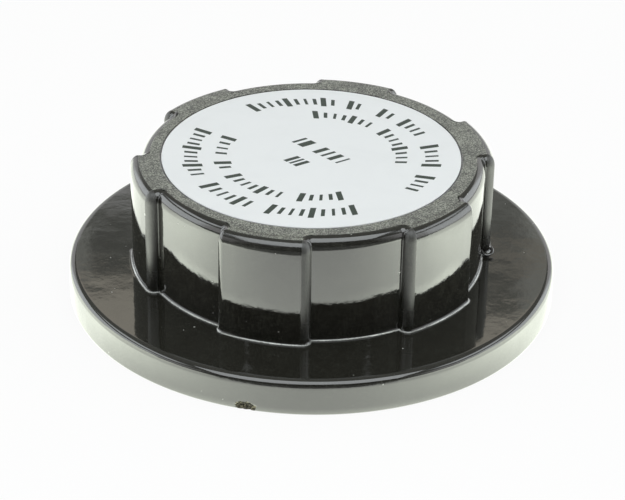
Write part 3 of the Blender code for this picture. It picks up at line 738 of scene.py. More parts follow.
def step_columns(settings, inset, spread):
    """One upright step of the grip, from recess to raised part, as (way along the rim, radius).

    The inset moves the outline inwards for the top's rounding, and the spread moves it outwards
    for the foot's. Corners keep their centres, as if a ball rolled along the edge.
    """
    outer, inner = settings.grip_radius, settings.recess_radius
    corner = settings.grip_corner
    hollow = 0.00012
    shift = inset - spread
    points = [(way - spread, inner - shift) for way in PLAIN_WAYS]
    if spread > hollow:
        centre, radius = (-spread, inner + spread), 0.0
    else:
        centre, radius = (-hollow, inner + hollow), hollow + shift
    for t in spaced(0.0, math.pi / 2, 9):
        points.append((centre[0] + radius * math.sin(t), centre[1] - radius * math.cos(t)))
    reach_in = max(corner, inset)
    radius = max(corner - shift, 0.0) if inset < corner else 0.0
    for t in spaced(0.0, math.pi / 2, 11):
        points.append((reach_in - radius * math.cos(t), outer - reach_in + radius * math.sin(t)))
    points[6 + 9:6 + 9] = [
        (points[14][0] + (points[15][0] - points[14][0]) * part,
         points[14][1] + (points[15][1] - points[14][1]) * part) for part in (0.33, 0.67)]
    return points


def raised_flat():
    """Shares of a raised part, or of a recess, where its plain columns stand."""
    return spaced(0.2, 0.8, 15)


def grip_loop(settings, inset, spread, height):
    """The grip's outline as points, with one for each column of the shell."""
    half = half_turn_of_step()
    outer = settings.grip_radius - inset + spread
    inner = settings.recess_radius - inset + spread
    columns = step_columns(settings, inset, spread)
    made = []
    for pair in range(STEP_COUNT):
        start = 2 * half * pair
        made += [(radius, start + way / settings.grip_radius) for way, radius in columns]
        made += [(outer, start + half * part) for part in raised_flat()]
        made += [(radius, start + half - way / settings.grip_radius) for way, radius in columns[::-1]]
        made += [(inner, start + half * (1 + part)) for part in raised_flat()]
    return [polar(radius, angle, height(radius) if callable(height) else height)
            for radius, angle in made]


def plain_angles(settings):
    """The columns' bearings on a plain circle, evenly spread where the grip has its steps."""
    half = half_turn_of_step()
    count = len(step_columns(settings, 0.0, 0.0))
    ways = spaced(-0.0032, 0.0026, count)
    made = []
    for pair in range(STEP_COUNT):
        start = 2 * half * pair
        made += [start + way / settings.grip_radius for way in ways]
        made += [start + half * part for part in raised_flat()]
        made += [start + half - way / settings.grip_radius for way in ways[::-1]]
        made += [start + half * (1 + part) for part in raised_flat()]
    return made


def arc(centre, radius, start, end, count):
    """Points of a profile on part of a circle."""
    return [(centre[0] + radius * math.cos(math.radians(t)), centre[1] + radius * math.sin(math.radians(t)))
            for t in spaced(start, end, count)]


def thread_radius(settings, angle, height, bore):
    """The bore's radius with the right-handed ridge, which fades out at both ends."""
    start, turns, fade = 0.0046, 2.0, 20.0 / 360.0
    depth = 0.0
    for lap in range(3):
        at = (angle % math.tau) / math.tau + lap
        if at > turns:
            continue
        away = abs(height - start - settings.thread_pitch * at)
        rise = 1.0 - ease(0.00055, 0.00145, away)
        depth = max(depth, rise * min(1.0, at / fade, (turns - at) / fade))
    return bore - settings.thread_depth * depth


def shell_loops(settings):
    """Every loop of the shell, from the label's pocket over grip and flange, round and up inside."""
    top = SHELL_HIGH.z
    label = settings_label()
    pocket = label.radius + POCKET_PLAY
    aside = Vector((-label.aside, -POCKET_FORWARD, 0.0))
    floor = LABEL_LOW.z - 0.0003
    angles = plain_angles(settings)
    flange, foot = settings.flange_height, settings.grip_foot
    fillet = settings.grip_fillet
    drop = 0.00007
    bore, barrel, skirt_bore = 0.0320, 0.0381, 0.0478
    channel, crown = 0.0046, 0.0274

    def circle(radius, height, shift=Vector()):
        return [polar(radius, angle, height) + shift for angle in angles]

    def blended(part, inner_loop, outer_loop):
        return [a.lerp(b, part) for a, b in zip(inner_loop, outer_loop)]

    def top_height(radius):
        return top - drop * ease(settings.ledge_radius - 0.00004, settings.ledge_radius + 0.00004, radius)

    loops = [[Vector((0, 0, floor))] * len(angles)]
    loops += [circle(r, floor, aside) for r in (pocket - 0.0002, pocket)]
    lip = 0.0002
    loops += [circle(r, z, aside) for r, z in arc((pocket + lip, top - lip), lip, 180, 90, 6)]
    edge = grip_loop(settings, fillet, 0.0, top_height)
    loops.append(circle(pocket + 0.0004, top, aside))
    loops += [circle(r, top) for r in (0.0322, 0.0330)]
    rim = [polar(settings.recess_radius - fillet - 0.0003, angle, top) for angle in angles]
    loops.append(rim)
    near = [polar(max(min(point.xy.length - 0.00012, settings.ledge_radius - 0.00006),
                      settings.recess_radius - fillet - 0.0002),
                  math.atan2(point.y, point.x), top) for point in edge]
    loops.append(near)
    after = [polar(max(min(point.xy.length - 0.00006, settings.ledge_radius + 0.00006),
                       settings.recess_radius - fillet - 0.0001),
                   math.atan2(point.y, point.x), 0.0) for point in edge]
    loops.append([Vector((p.x, p.y, top_height(p.xy.length))) for p in after])
    loops.append(edge)
    for t in spaced(0.0, math.pi / 2, 13)[1:]:
        inset = fillet * (1 - math.sin(t))
        down = settings.grip_brow * (1 - math.cos(t))
        sunk = 1 - ease(0.0, 0.5, t)
        loops.append(grip_loop(settings, inset, 0.0,
                               lambda r, down=down, sunk=sunk: min(top_height(r) if sunk else top, top)
                               * sunk + top * (1 - sunk) - down))
    low_wall = flange + foot
    high_wall = top - settings.grip_brow
    for height in spaced(high_wall, low_wall, 8)[1:]:
        loops.append(grip_loop(settings, 0.0, 0.0, height))
    for t in spaced(0.0, math.pi / 2, 9)[1:]:
        spread = foot * (1 - math.cos(t))
        rise = foot * (1 - math.sin(t))
        loops.append(grip_loop(settings, 0.0, spread, flange + rise))
    base = loops[-1]
    edge_start = circle(settings.flange_radius - settings.flange_edge - 0.0002, flange)
    wide = [polar(point.xy.length + 0.0003, math.atan2(point.y, point.x), flange) for point in base]
    loops.append(wide)
    loops += [blended(part, wide, edge_start) for part in (0.3, 0.65)]
    loops.append(edge_start)
    edge = settings.flange_edge
    profile = arc((settings.flange_radius - edge, flange - edge), edge, 90, 30, 12)
    profile += [(settings.flange_radius - inward, flange - edge + rise) for inward, rise in (
        (0.00012, 0.00045), (0.00005, 0.00017), (0.00001, -0.00002), (0.0, -0.00015))]
    profile += [(settings.flange_radius, z) for z in spaced(0.0052, 0.0008, 12)]
    profile += arc((settings.flange_radius - 0.0005, 0.0005), 0.0005, 0, -90, 6)
    profile += arc((skirt_bore + 0.0005, 0.0005), 0.0005, -90, -180, 6)
    profile += [(skirt_bore, z) for z in (0.0020, 0.0034)]
    profile += arc((skirt_bore - 0.0006, channel - 0.0006), 0.0006, 0, 90, 6)
    profile += [(0.0460, channel), (0.0430, channel), (0.0400, channel)]
    profile += arc((barrel + 0.0006, channel - 0.0006), 0.0006, 90, 180, 6)
    profile += [(barrel, z) for z in (0.0030, 0.0020)]
    profile += arc((barrel - 0.0005, 0.0013), 0.0005, 0, -90, 6)
    profile += [(0.0360, 0.0008)]
    profile += arc((bore + 0.0014, 0.0014 + 0.0008), 0.0014, -90, -180, 7)
    loops += [circle(r, z) for r, z in profile]
    for height in spaced(0.0024, 0.0152, 84):
        loops.append([polar(thread_radius(settings, angle, height, bore), angle, height)
                      for angle in angles])
    inside = [(bore, z) for z in (0.0180, 0.0220, 0.0250)]
    inside += arc((bore - 0.0008, crown - 0.0008), 0.0008, 0, 90, 6)
    inside += [(0.0300, crown), (0.0200, crown), (0.0100, crown)]
    loops += [circle(r, z) for r, z in inside]
    loops.append([Vector((0, 0, crown))] * len(angles))
    return loops


def screw_places():
    """The axes of the cage's three screws."""
    return [polar(SCREW_CIRCLE, math.tau * (k / 3 + 0.25), 0.0) for k in range(3)]


def bosses(bm):
    """Three posts under the crown that the cage's screws bite into."""
    profile = softened(ring_section(0.00145, 0.00355, 0.0248, 0.0276), 0.00025)
    for centre in screw_places():
        skin(bm, [round_loop(bm, r, z, 40, centre) for r, z in profile], closed=True)


def flash_hook(bm, settings):
    """A small curl of moulding flash, left at the foot of one raised part."""
    centre = Vector((settings.grip_radius - 0.0007, -0.0003, settings.flange_height + 0.0006))
    path = []
    for t in spaced(185.0, 400.0, 26):
        lift = 0.00055 * (abs(t - 270.0) / 100.0) ** 1.5
        path.append(centre + polar(0.00125 - 0.0000012 * (t - 185.0), math.radians(t), lift))
    swept(bm, path, 0.00040, 12, 0.8)


def chip_tool(settings):
    """A rough lump that breaks a shallow notch out of the rim's lower edge."""
    bm = bmesh.new()
    bmesh.ops.create_icosphere(bm, subdivisions=5, radius=1.0)
    for vert in bm.verts:
        rough = noise.fractal(vert.co * 3.1, 0.7, 2.2, 6) * 0.24
        vert.co *= 1.0 + rough
        vert.co = Vector((vert.co.x * 0.0010, vert.co.y * 0.0021, vert.co.z * 0.0011))
    tool = new_piece("chip_tool", bm)
    bearing = math.radians(-104.0)
    tool.location = polar(settings.flange_radius, bearing, 0.0009)
    tool.rotation_euler = (0.0, 0.0, bearing)
    return tool


def make_chip_material():
    """Broken plastic: dull, and grainy with dark and pale spots."""
    material, tree, shader, points, _ = start_material("broken_nylon", (0.05, 0.045, 0.03), 0.7)
    grain = grain_on(tree, points, 0.34)
    tree.links.new(blend_colour(tree, ramp(tree, grain["Tone"], 0.47, 0.60), (0.03, 0.028, 0.02),
                                (0.38, 0.35, 0.25)), shader.inputs["Base Color"])
    bump(tree, shader, grain["Height"], 0.00008)
    return material


class RADIATOR_CAP_OT_shell(Operator):
    """Builds the moulded shell with its grip, flange and inner thread"""
    bl_idname = "radiator_cap.shell"
    bl_label = "Build Shell"

    def execute(self, context):
        settings = context.scene.radiator_cap_shell
        bm = bmesh.new()
        loops = []
        for points in shell_loops(settings):
            if points[0] is points[1]:
                loops.append([bm.verts.new(points[0])] * len(points))
            else:
                loops.append([bm.verts.new(point) for point in points])
        skin(bm, loops)
        bmesh.ops.dissolve_degenerate(bm, dist=NIL, edges=bm.edges)
        shell = new_piece("moulded_shell", bm, 50.0)
        tool = chip_tool(settings)
        gloss = material_named("gloss_black_nylon")
        shell.data.materials.append(gloss)
        tool.data.materials.append(make_chip_material())
        carve(shell, tool, 50.0, own_finish=True)
        whole = bmesh.new()
        whole.from_mesh(shell.data)
        bosses(whole)
        flash_hook(whole, settings)
        bmesh.ops.recalc_face_normals(whole, faces=whole.faces)
        whole.to_mesh(shell.data)
        whole.free()
        keep_sharp_faces(shell.data, 50.0)
        weigh_normals(shell)
        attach(shell, "cap")
        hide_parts("cap_shell")
        return {"FINISHED"}


# Label

def mark(bm, inner, outer, bearing, width, low, high, slant=0.0):
    """One printed mark: a short slanted bar that points away from the label's centre."""
    corners = []
    for height in (low, high):
        for radius, side in ((inner, -1), (outer, -1), (outer, 1), (inner, 1)):
            lean = slant * (radius - inner)
            along = polar(1.0, bearing, 0.0)
            across = Vector((-along.y, along.x, 0.0))
            point = along * radius + across * (side * width / 2 + lean)
            corners.append(bm.verts.new(point + Vector((0, 0, height))))
    bm.faces.new(corners[0:4][::-1])
    bm.faces.new(corners[4:8])
    for k in range(4):
        j = (k + 1) % 4
        bm.faces.new((corners[k], corners[j], corners[4 + j], corners[4 + k]))


def mark_row(bm, settings, inner, outer, start, end, low, high, slant):
    """A run of marks along part of a ring, wide and narrow by turns, as on a gauge."""
    middle = (inner + outer) / 2
    span = abs(math.radians(end - start)) * middle
    count = max(2, round(span / 0.00205))
    for k in range(count):
        bearing = math.radians(start + (end - start) * (k + 0.5) / count)
        tall = k % 4 == 0
        inset = 0.0 if tall else (outer - inner) * 0.16
        width = settings.mark_width * (1.9 if tall else 1.25 if k % 2 else 1.0)
        mark(bm, inner + inset, outer - inset, bearing, width, low, high, slant)


class RADIATOR_CAP_OT_label(Operator):
    """Builds the label film and its printed gauge marks"""
    bl_idname = "radiator_cap.label"
    bl_label = "Build Label"

    def execute(self, context):
        settings = context.scene.radiator_cap_label
        low, high = LABEL_LOW.z, LABEL_HIGH.z - 0.000016
        profile = [(0.0, low), (settings.radius, low), (settings.radius, high), (0.0, high)]
        film = turned("label_film", softened(profile, 0.00005), 256, closed=False)
        film.data.transform(Matrix.Translation((-settings.aside, 0, 0)))
        seat(film, "cap", "label_disc", "white_vinyl")
        bm = bmesh.new()
        ink_low, ink_high = high - 0.00001, LABEL_HIGH.z - 0.000002
        for inner, outer, rows in ((settings.ring_low, settings.ring_high, OUTER_ROWS),
                                   (settings.inner_low, settings.inner_high, INNER_ROWS)):
            for start, end in rows:
                slant = -MARK_LEAN if start > 150 else MARK_LEAN
                mark_row(bm, settings, inner, outer, start, end, ink_low, ink_high, slant)
        print_middle(bm, settings, ink_low, ink_high)
        print_piece = new_piece("label_print", bm)
        print_piece.data.transform(Matrix.Translation((-settings.aside, 0, 0)))
        seat(print_piece, "cap", None, "dark_ink")
        return {"FINISHED"}


def print_middle(bm, settings, low, high):
    """A short scale of bars across the label's middle, with one broad mark below it."""
    aim = math.radians(45.0)
    up = polar(1.0, aim, 0.0)
    along = Vector((up.y, -up.x, 0.0))
    for k, width in enumerate((0.0007, 0.0017, 0.0, 0.0012, 0.0007, 0.0012, 0.0005)):
        if width:
            bar(bm, along * (0.0021 * (k - 3)) + up * 0.0028, along, up, width, 0.0034, low, high)
    for k, width in enumerate((0.0010, 0.0006, 0.0010)):
        bar(bm, along * (0.0014 * (k - 1)) - up * 0.0042, along, up, width, 0.0034, low, high)


def bar(bm, centre, along, up, width, height, low, high):
    """A leaning block of ink."""
    lean = along * 0.2
    loops = []
    for z in (low, high):
        lift = Vector((0, 0, z))
        loops.append([bm.verts.new(centre + along * (x * width / 2) + (up + lean) * (y * height / 2) + lift)
                      for x, y in ((-1, -1), (1, -1), (1, 1), (-1, 1))])
    skin(bm, loops, capped=True)


# Cage, its screws and the seals on the cap

def window_tool(settings):
    """Six rounded blocks that open the cage's side windows."""
    bm = bmesh.new()
    low, high, half = 0.0152, 0.0213, 0.00625
    corner = settings.window_corner
    outline = []
    for cx, cz, start in ((half, high, 0), (-half, high, 90), (-half, low, 180), (half, low, 270)):
        inside = (cx - math.copysign(corner, cx), cz + (corner if cz == low else -corner))
        outline += arc(inside, corner, start, start + 90, 7)
    for k in range(6):
        bearing = math.tau * (k + 0.5) / 6
        spin = Matrix.Rotation(bearing, 3, "Z")
        loops = [[bm.verts.new(spin @ Vector((radius, y, z))) for y, z in outline]
                 for radius in (0.0190, 0.0270)]
        skin(bm, loops, capped=True)
    return new_piece("window_tool", bm)


def cage_profile():
    """The cup's profile: collar on top, two grooves outside, seat pocket and ring groove inside."""
    radius, bore, pocket, groove = 0.0250, 0.0216, 0.0226, 0.0238
    points = [(0.0, 0.0245), (0.0223, 0.0245), (0.0223, 0.0271), (radius, 0.0271)]
    for level in (O_RING_HIGH, O_RING_LOW):
        points += [(radius, level + 0.0014), (0.0234, level + 0.0014), (0.0234, level - 0.0014),
                   (radius, level - 0.0014)]
    points += [(radius, 0.0026), (radius - 0.0006, 0.0020), (pocket, 0.0020), (pocket, 0.0026),
               (groove, 0.0026), (groove, 0.0042), (pocket, 0.0042), (pocket, 0.0065), (bore, 0.0065),
               (bore, 0.0230), (0.0, 0.0230)]
    return softened(points, 0.00018)


def hole_tool():
    """Three pins that open the screws' holes in the cage's ceiling."""
    bm = bmesh.new()
    for centre in screw_places():
        skin(bm, [round_loop(bm, 0.00175, z, 32, centre) for z in (0.0226, 0.0249)], capped=True)
    return new_piece("hole_tool", bm)


def pan_head(head_low, head_top):
    """The profile of a pan head that hangs down, from its middle to the shank."""
    points = [(0.0, head_low), (0.0013, head_low)]
    points += [(0.0026 - 0.0007 * (1 - math.sin(t)), head_low + 0.0009 * (1 - math.cos(t)))
               for t in spaced(0.15, math.pi / 2, 7)]
    points += [(0.0026, head_top - 0.0001), (0.0025, head_top), (0.00095, head_top)]
    return points


def make_screw(settings, index, centre):
    """One cage screw with a helical thread and a cross recess."""
    head_low, head_top, tip = 0.0211, 0.0227, 0.0286
    sides = 32
    bm = bmesh.new()
    loops = [round_loop(bm, radius, height, sides, centre) for radius, height in pan_head(head_low, head_top)]
    for height in spaced(head_top + 0.0001, tip - 0.0002, 60):
        taper = 1.0 - ease(tip - 0.0012, tip, height)
        loop = []
        for s in range(sides):
            angle = math.tau * s / sides
            phase = ((height - head_top) / settings.screw_pitch - angle / math.tau) % 1.0
            ridge = max(0.0, 1.0 - abs(phase - 0.5) * 4.0)
            radius = (0.00088 + 0.00026 * ridge) * (0.25 + 0.75 * taper)
            loop.append(bm.verts.new(centre + polar(radius, angle, height)))
        loops.append(loop)
    loops.append(round_loop(bm, 0.0, tip, sides, centre))
    skin(bm, loops)
    screw = new_piece(f"pan_screw_{index}", bm, 35.0)
    cross = bmesh.new()
    outline = []
    for k in range(4):
        spin = Matrix.Rotation(math.pi / 2 * k, 3, "Z")
        outline += [spin @ Vector(p) for p in ((0.0015, -0.00035, 0), (0.0015, 0.00035, 0),
                                               (0.00035, 0.00035, 0))]
    loops = [[cross.verts.new(centre + Vector((p.x * part, p.y * part, z))) for p in outline]
             for part, z in ((1.06, 0.0209), (0.72, 0.0220))]
    skin(cross, loops, capped=True)
    return carve(screw, new_piece("cross_tool", cross), 35.0)


def o_ring_profile(level):
    """A round section with the faint flash line of its mould."""
    points = []
    for t in spaced(0.0, math.tau, 29)[:-1]:
        bulge = 1.0 if abs(math.cos(t)) > 0.995 else 0.985
        points.append((0.0248 + 0.0011 * bulge * math.cos(t), level + 0.0011 * bulge * math.sin(t)))
    return points


class RADIATOR_CAP_OT_cage(Operator):
    """Builds the valve cage, its screws and the seals on it"""
    bl_idname = "radiator_cap.cage"
    bl_label = "Build Cage and Seals"

    def execute(self, context):
        settings = context.scene.radiator_cap_cage
        cage = turned("cage_cup", cage_profile(), 180, closed=False)
        carve(cage, window_tool(settings))
        carve(cage, hole_tool())
        seat(cage, "cap", "valve_cage", "grey_nylon")
        for index, centre in enumerate(screw_places(), 1):
            seat(make_screw(settings, index, centre), "cap", f"cage_screw_{index}", "plated_steel")
        for name, node, level in (("o_ring_low", "cage_o_ring_lower", O_RING_LOW),
                                  ("o_ring_high", "cage_o_ring_upper", O_RING_HIGH)):
            seat(turned(name, o_ring_profile(level), 192), "cap", node, "black_rubber")
        outer, low, high = reach("neck_gasket")
        inner = 0.0253
        points = [(inner, low + 0.0001), (0.0262, low + 0.0001), (0.0264, low), (0.0268, low),
                  (0.0270, low + 0.00012), (0.0284, low + 0.00012), (0.0286, low), (0.0290, low),
                  (0.0292, low + 0.00012), (0.0308, low + 0.00012), (outer, low + 0.0003),
                  (outer, high), (inner, high)]
        turn_and_seat("gasket_ring", "cap", "neck_gasket", "black_rubber", points, 0.00015, 192)
        return {"FINISHED"}


# Seat, valves and springs

def split_ring(name, radius, width, low, high, gap):
    """A flat wire ring with a gap, rounded in section and at its ends."""
    section = softened(ring_section(radius - width, radius, low, high), 0.00025)
    middle = radius - width / 2
    bm = bmesh.new()
    loops = []
    for angle in spaced(gap / 2, math.tau - gap / 2, 150):
        away = min(angle - gap / 2, math.tau - gap / 2 - angle) * radius
        slim = math.sqrt(max(0.0, 1 - (1 - min(1.0, away / (width / 2))) ** 2)) * 0.9 + 0.1
        loops.append([bm.verts.new(polar(middle + (r - middle) * slim, angle, z)) for r, z in section])
    skin(bm, loops, capped=True)
    return new_piece(name, bm)


def coil(name, radius, wire, low, high, turns, sides, per_turn=72):
    """A coil of round wire whose ends lie flat and are ground off level."""
    bm = bmesh.new()
    steps = int(turns * per_turn)
    start, end = low + wire * 0.72, high - wire * 0.72
    loops = []
    for k in range(steps + 1):
        part = k / steps
        eased = part + 0.045 * math.sin(-math.tau * part)
        angle = math.tau * turns * part
        centre = polar(radius, angle, start + (end - start) * eased)
        outward = polar(1.0, angle, 0.0)
        climb = (end - start) / (math.tau * turns)
        run = Vector((-radius * math.sin(angle), radius * math.cos(angle), climb))
        across = run.normalized().cross(outward)
        loop = []
        for s in range(sides):
            t = math.tau * s / sides
            point = centre + wire * (outward * math.cos(t) + across * math.sin(t))
            point.z = min(max(point.z, low), high)
            loop.append(bm.verts.new(point))
        loops.append(loop)
    skin(bm, loops, capped=True)
    return new_piece(name, bm, 35.0)


class RADIATOR_CAP_OT_seat(Operator):
    """Builds the brass seat, the ring that holds it and the spring's upper washer"""
    bl_idname = "radiator_cap.seat"
    bl_label = "Build Seat"

    def execute(self, context):
        outer, low, high = reach("seat_ring")
        bore, top = 0.0160, high - 0.0008
        points = [(bore, low), (outer, low), (outer, top), (bore + 0.0014, top), (bore + 0.0009, high),
                  (bore + 0.0003, high), (bore, high - 0.0004)]
        turn_and_seat("brass_seat", "cap", "seat_ring", "brass", points, 0.00015, 160)
        outer, low, high = reach("stop_ring")
        snap = split_ring("snap_ring", outer, 0.0023, low, high, math.radians(24.0))
        seat(snap, "cap", "stop_ring", "spring_steel")
        outer, low, high = reach("spring_washer")
        turn_and_seat("upper_washer", "cap", "spring_washer", "plated_steel",
                      ring_section(0.0146, outer, low, high), 0.00015, 128)
        return {"FINISHED"}


class RADIATOR_CAP_OT_pressure_valve(Operator):
    """Builds the pressure valve: plate, rubber, retainer, eyelet and the large spring"""
    bl_idname = "radiator_cap.pressure_valve"
    bl_label = "Build Pressure Valve"

    def execute(self, context):
        settings = context.scene.radiator_cap_valve
        hole = 0.0063
        outer, low, high = reach("pressure_plate")
        thick, rib = 0.0009, 0.00025
        points = [(hole, low), (0.0100, low), (0.0104, low + rib), (0.0112, low + rib), (0.0116, low),
                  (outer - 0.0007, low), (outer, low + 0.0007), (outer, high - 0.0002),
                  (outer - 0.0002, high), (outer - thick, high), (outer - thick, low + thick + 0.0004),
                  (outer - thick - 0.0004, low + thick), (0.0116, low + thick),
                  (0.0112, low + thick + rib), (0.0104, low + thick + rib), (0.0100, low + thick),
                  (hole, low + thick)]
        turn_and_seat("spring_plate", "pressure_valve", "pressure_plate", "plated_steel", points, 0.0002, 160)
        outer, low, high = reach("pressure_seal")
        points = [(hole, low), (0.0160, low), (0.0162, low + 0.00012), (0.0169, low + 0.00012),
                  (0.0171, low), (outer, low), (outer, high), (hole, high)]
        turn_and_seat("valve_rubber", "pressure_valve", "pressure_seal", "black_rubber", points, 0.00012, 160)
        outer, low, high = reach("seal_retainer")
        thick = 0.0008
        points = [(hole, high), (outer - 0.0005, high), (outer, high - 0.0005), (outer, low),
                  (outer - thick, low), (outer - thick, high - thick - 0.0002),
                  (outer - thick - 0.0002, high - thick), (hole, high - thick)]
        turn_and_seat("cup_washer", "pressure_valve", "seal_retainer", "plated_steel", points, 0.00018, 144)
        outer, low, high = reach("valve_eyelet")
        bore, wall = 0.0049, 0.0060
        points = [(bore, low + 0.0003), (bore + 0.0003, low), (outer - 0.0003, low), (outer, low + 0.0004),
                  (outer, low + 0.0008), (wall, low + 0.0008), (wall, high - 0.0008),
                  (outer, high - 0.0008), (outer, high - 0.0004), (outer - 0.0005, high),
                  (bore + 0.0006, high), (bore, high - 0.0004)]
        turn_and_seat("rolled_eyelet", "pressure_valve", "valve_eyelet", "brass", points, 0.0002, 112)
        _, low, high = reach("pressure_spring")
        spring = coil("large_spring", 0.0162, 0.0011, low, high, 3.0, settings.wire_sides)
        seat(spring, "cap", "pressure_spring", "spring_steel")
        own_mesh(spring)
        return {"FINISHED"}


class RADIATOR_CAP_OT_vacuum_valve(Operator):
    """Builds the vacuum valve: rubber, disc, stem, keeper and the small spring"""
    bl_idname = "radiator_cap.vacuum_valve"
    bl_label = "Build Vacuum Valve"

    def execute(self, context):
        settings = context.scene.radiator_cap_valve
        hole = 0.0018
        outer, low, high = reach("vacuum_seal")
        turn_and_seat("vacuum_rubber", "vacuum_valve", "vacuum_seal", "black_rubber",
                      ring_section(hole, outer, low, high), 0.00015, 112)
        outer, low, high = reach("vacuum_disc")
        points = [(hole, low), (0.0044, low), (0.0047, low + 0.0002), (0.0052, low + 0.0002),
                  (0.0055, low), (outer, low), (outer, high), (hole, high)]
        turn_and_seat("vacuum_cup", "vacuum_valve", "vacuum_disc", "plated_steel", points, 0.00018, 112)
        outer, low, high = reach("stem_keeper")
        turn_and_seat("keeper_washer", "vacuum_valve", "stem_keeper", "plated_steel",
                      ring_section(hole, outer, low, high), 0.00018, 96)
        outer, low, high = reach("vacuum_stem")
        radius, tip = 0.0015, 0.0021
        points = [(0.0, low), (outer - 0.0008, low), (outer - 0.0002, low + 0.0002), (outer, low + 0.0004),
                  (outer, low + 0.0006), (radius, low + 0.0006), (radius, high - 0.0006),
                  (tip, high - 0.0006), (tip, high - 0.0004), (0.0014, high - 0.0001), (0.0, high)]
        turn_and_seat("riveted_stem", "vacuum_valve", "vacuum_stem", "brass", points, 0.00015, 56,
                      closed=False)
        _, low, high = reach("vacuum_spring")
        spring = coil("small_spring", 0.00635, 0.00035, low, high, 4.0, settings.wire_sides, 56)
        seat(spring, "pressure_valve", "vacuum_spring", "spring_steel")
        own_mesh(spring)
        return {"FINISHED"}


# Stage

def make_camera(settings):
    """A camera at the fitted place, turned by its yaw, pitch and roll."""
    tilt = settings.camera_height
    place = Vector((0.0, -math.cos(tilt), math.sin(tilt))) * settings.camera_distance
    ahead = Vector((0.0, math.cos(tilt), -math.sin(tilt)))
    right = Vector((1.0, 0.0, 0.0))
    up = right.cross(ahead)
    for axis_name, angle in (("up", settings.camera_yaw), ("right", settings.camera_pitch),
                             ("ahead", settings.camera_roll)):
        axis = {"up": up, "right": right, "ahead": ahead}[axis_name].copy()
        spin = Matrix.Rotation(angle, 3, axis)
        right, up, ahead = spin @ right, spin @ up, spin @ ahead
    data = bpy.data.cameras.new("photo_camera")
    data.lens = settings.camera_lens
    data.sensor_width = 36.0
    data.clip_start, data.clip_end = 0.01, 50.0
    camera = bpy.data.objects.new("photo_camera", data)
    bpy.context.scene.collection.objects.link(camera)
    turned_to = Matrix((right, up, -ahead)).transposed()
    camera.matrix_world = Matrix.Translation(place) @ turned_to.to_4x4()
    bpy.context.scene.camera = camera


def panel(name, place, aim, size, radiance, colour=(1.0, 1.0, 1.0)):
    """An area lamp of a given brightness, seen in reflections but not by the camera."""
    data = bpy.data.lights.new(name, "AREA")
    data.shape = "RECTANGLE"
    data.size, data.size_y = size
    data.energy = radiance * math.pi * size[0] * size[1]
    data.color = colour
    lamp = bpy.data.objects.new(name, data)
    lamp.location = place
    lamp.rotation_euler = (Vector(aim) - Vector(place)).to_track_quat("-Z", "Y").to_euler()
    lamp.visible_camera = False
    bpy.context.scene.collection.objects.link(lamp)
    return lamp


def ray_kinds(tree):
    """Whether a ray comes straight or through a clear surface, and whether it is a reflection."""
    path = put(tree, "ShaderNodeLightPath")
    seen = maths(tree, "MAXIMUM", path.outputs["Is Camera Ray"], path.outputs["Is Transmission Ray"])
    return seen, path.outputs["Is Glossy Ray"]


def make_floor(settings):
    """A wide pale floor that looks white and still takes the cap's shadow."""
    bm = bmesh.new()
    bmesh.ops.create_circle(bm, cap_ends=True, segments=96, radius=6.0)
    floor = new_piece("studio_floor", bm)
    material = bpy.data.materials.new("pale_floor")
    material.use_nodes = True
    tree = material.node_tree
    tree.nodes.clear()
    output = tree.nodes.new("ShaderNodeOutputMaterial")
    matte = put(tree, "ShaderNodeBsdfDiffuse", {"Color": (*settings.floor, 1.0)})
    glow = put(tree, "ShaderNodeEmission", {"Color": (1.0, 1.0, 1.0, 1.0), "Strength": 1.0})
    seen, mirrored = ray_kinds(tree)
    place = put(tree, "ShaderNodeSeparateXYZ", {0: put(tree, "ShaderNodeNewGeometry").outputs["Position"]})
    lit = ramp(tree, place.outputs[1], TABLE_END, TABLE_START, 0.12, 1.0)
    bright = maths(tree, "MAXIMUM", seen, lit)
    tree.links.new(bright, glow.inputs["Strength"])
    part = times(tree, maths(tree, "MAXIMUM", seen, mirrored), 0.92)
    surface = put(tree, "ShaderNodeMixShader", {0: part, 1: matte.outputs[0], 2: glow.outputs[0]})
    back = put(tree, "ShaderNodeNewGeometry").outputs["Backfacing"]
    clear = put(tree, "ShaderNodeBsdfTransparent")
    whole = put(tree, "ShaderNodeMixShader", {0: back, 1: surface.outputs[0], 2: clear.outputs[0]})
    tree.links.new(whole.outputs[0], output.inputs[0])
    floor.data.materials.append(material)


def window(tree, height, low, high, soft):
    """A soft-edged band of heights in the world."""
    return times(tree, ramp(tree, height, low - soft, low + soft),
                 ramp(tree, height, high + soft, high - soft))


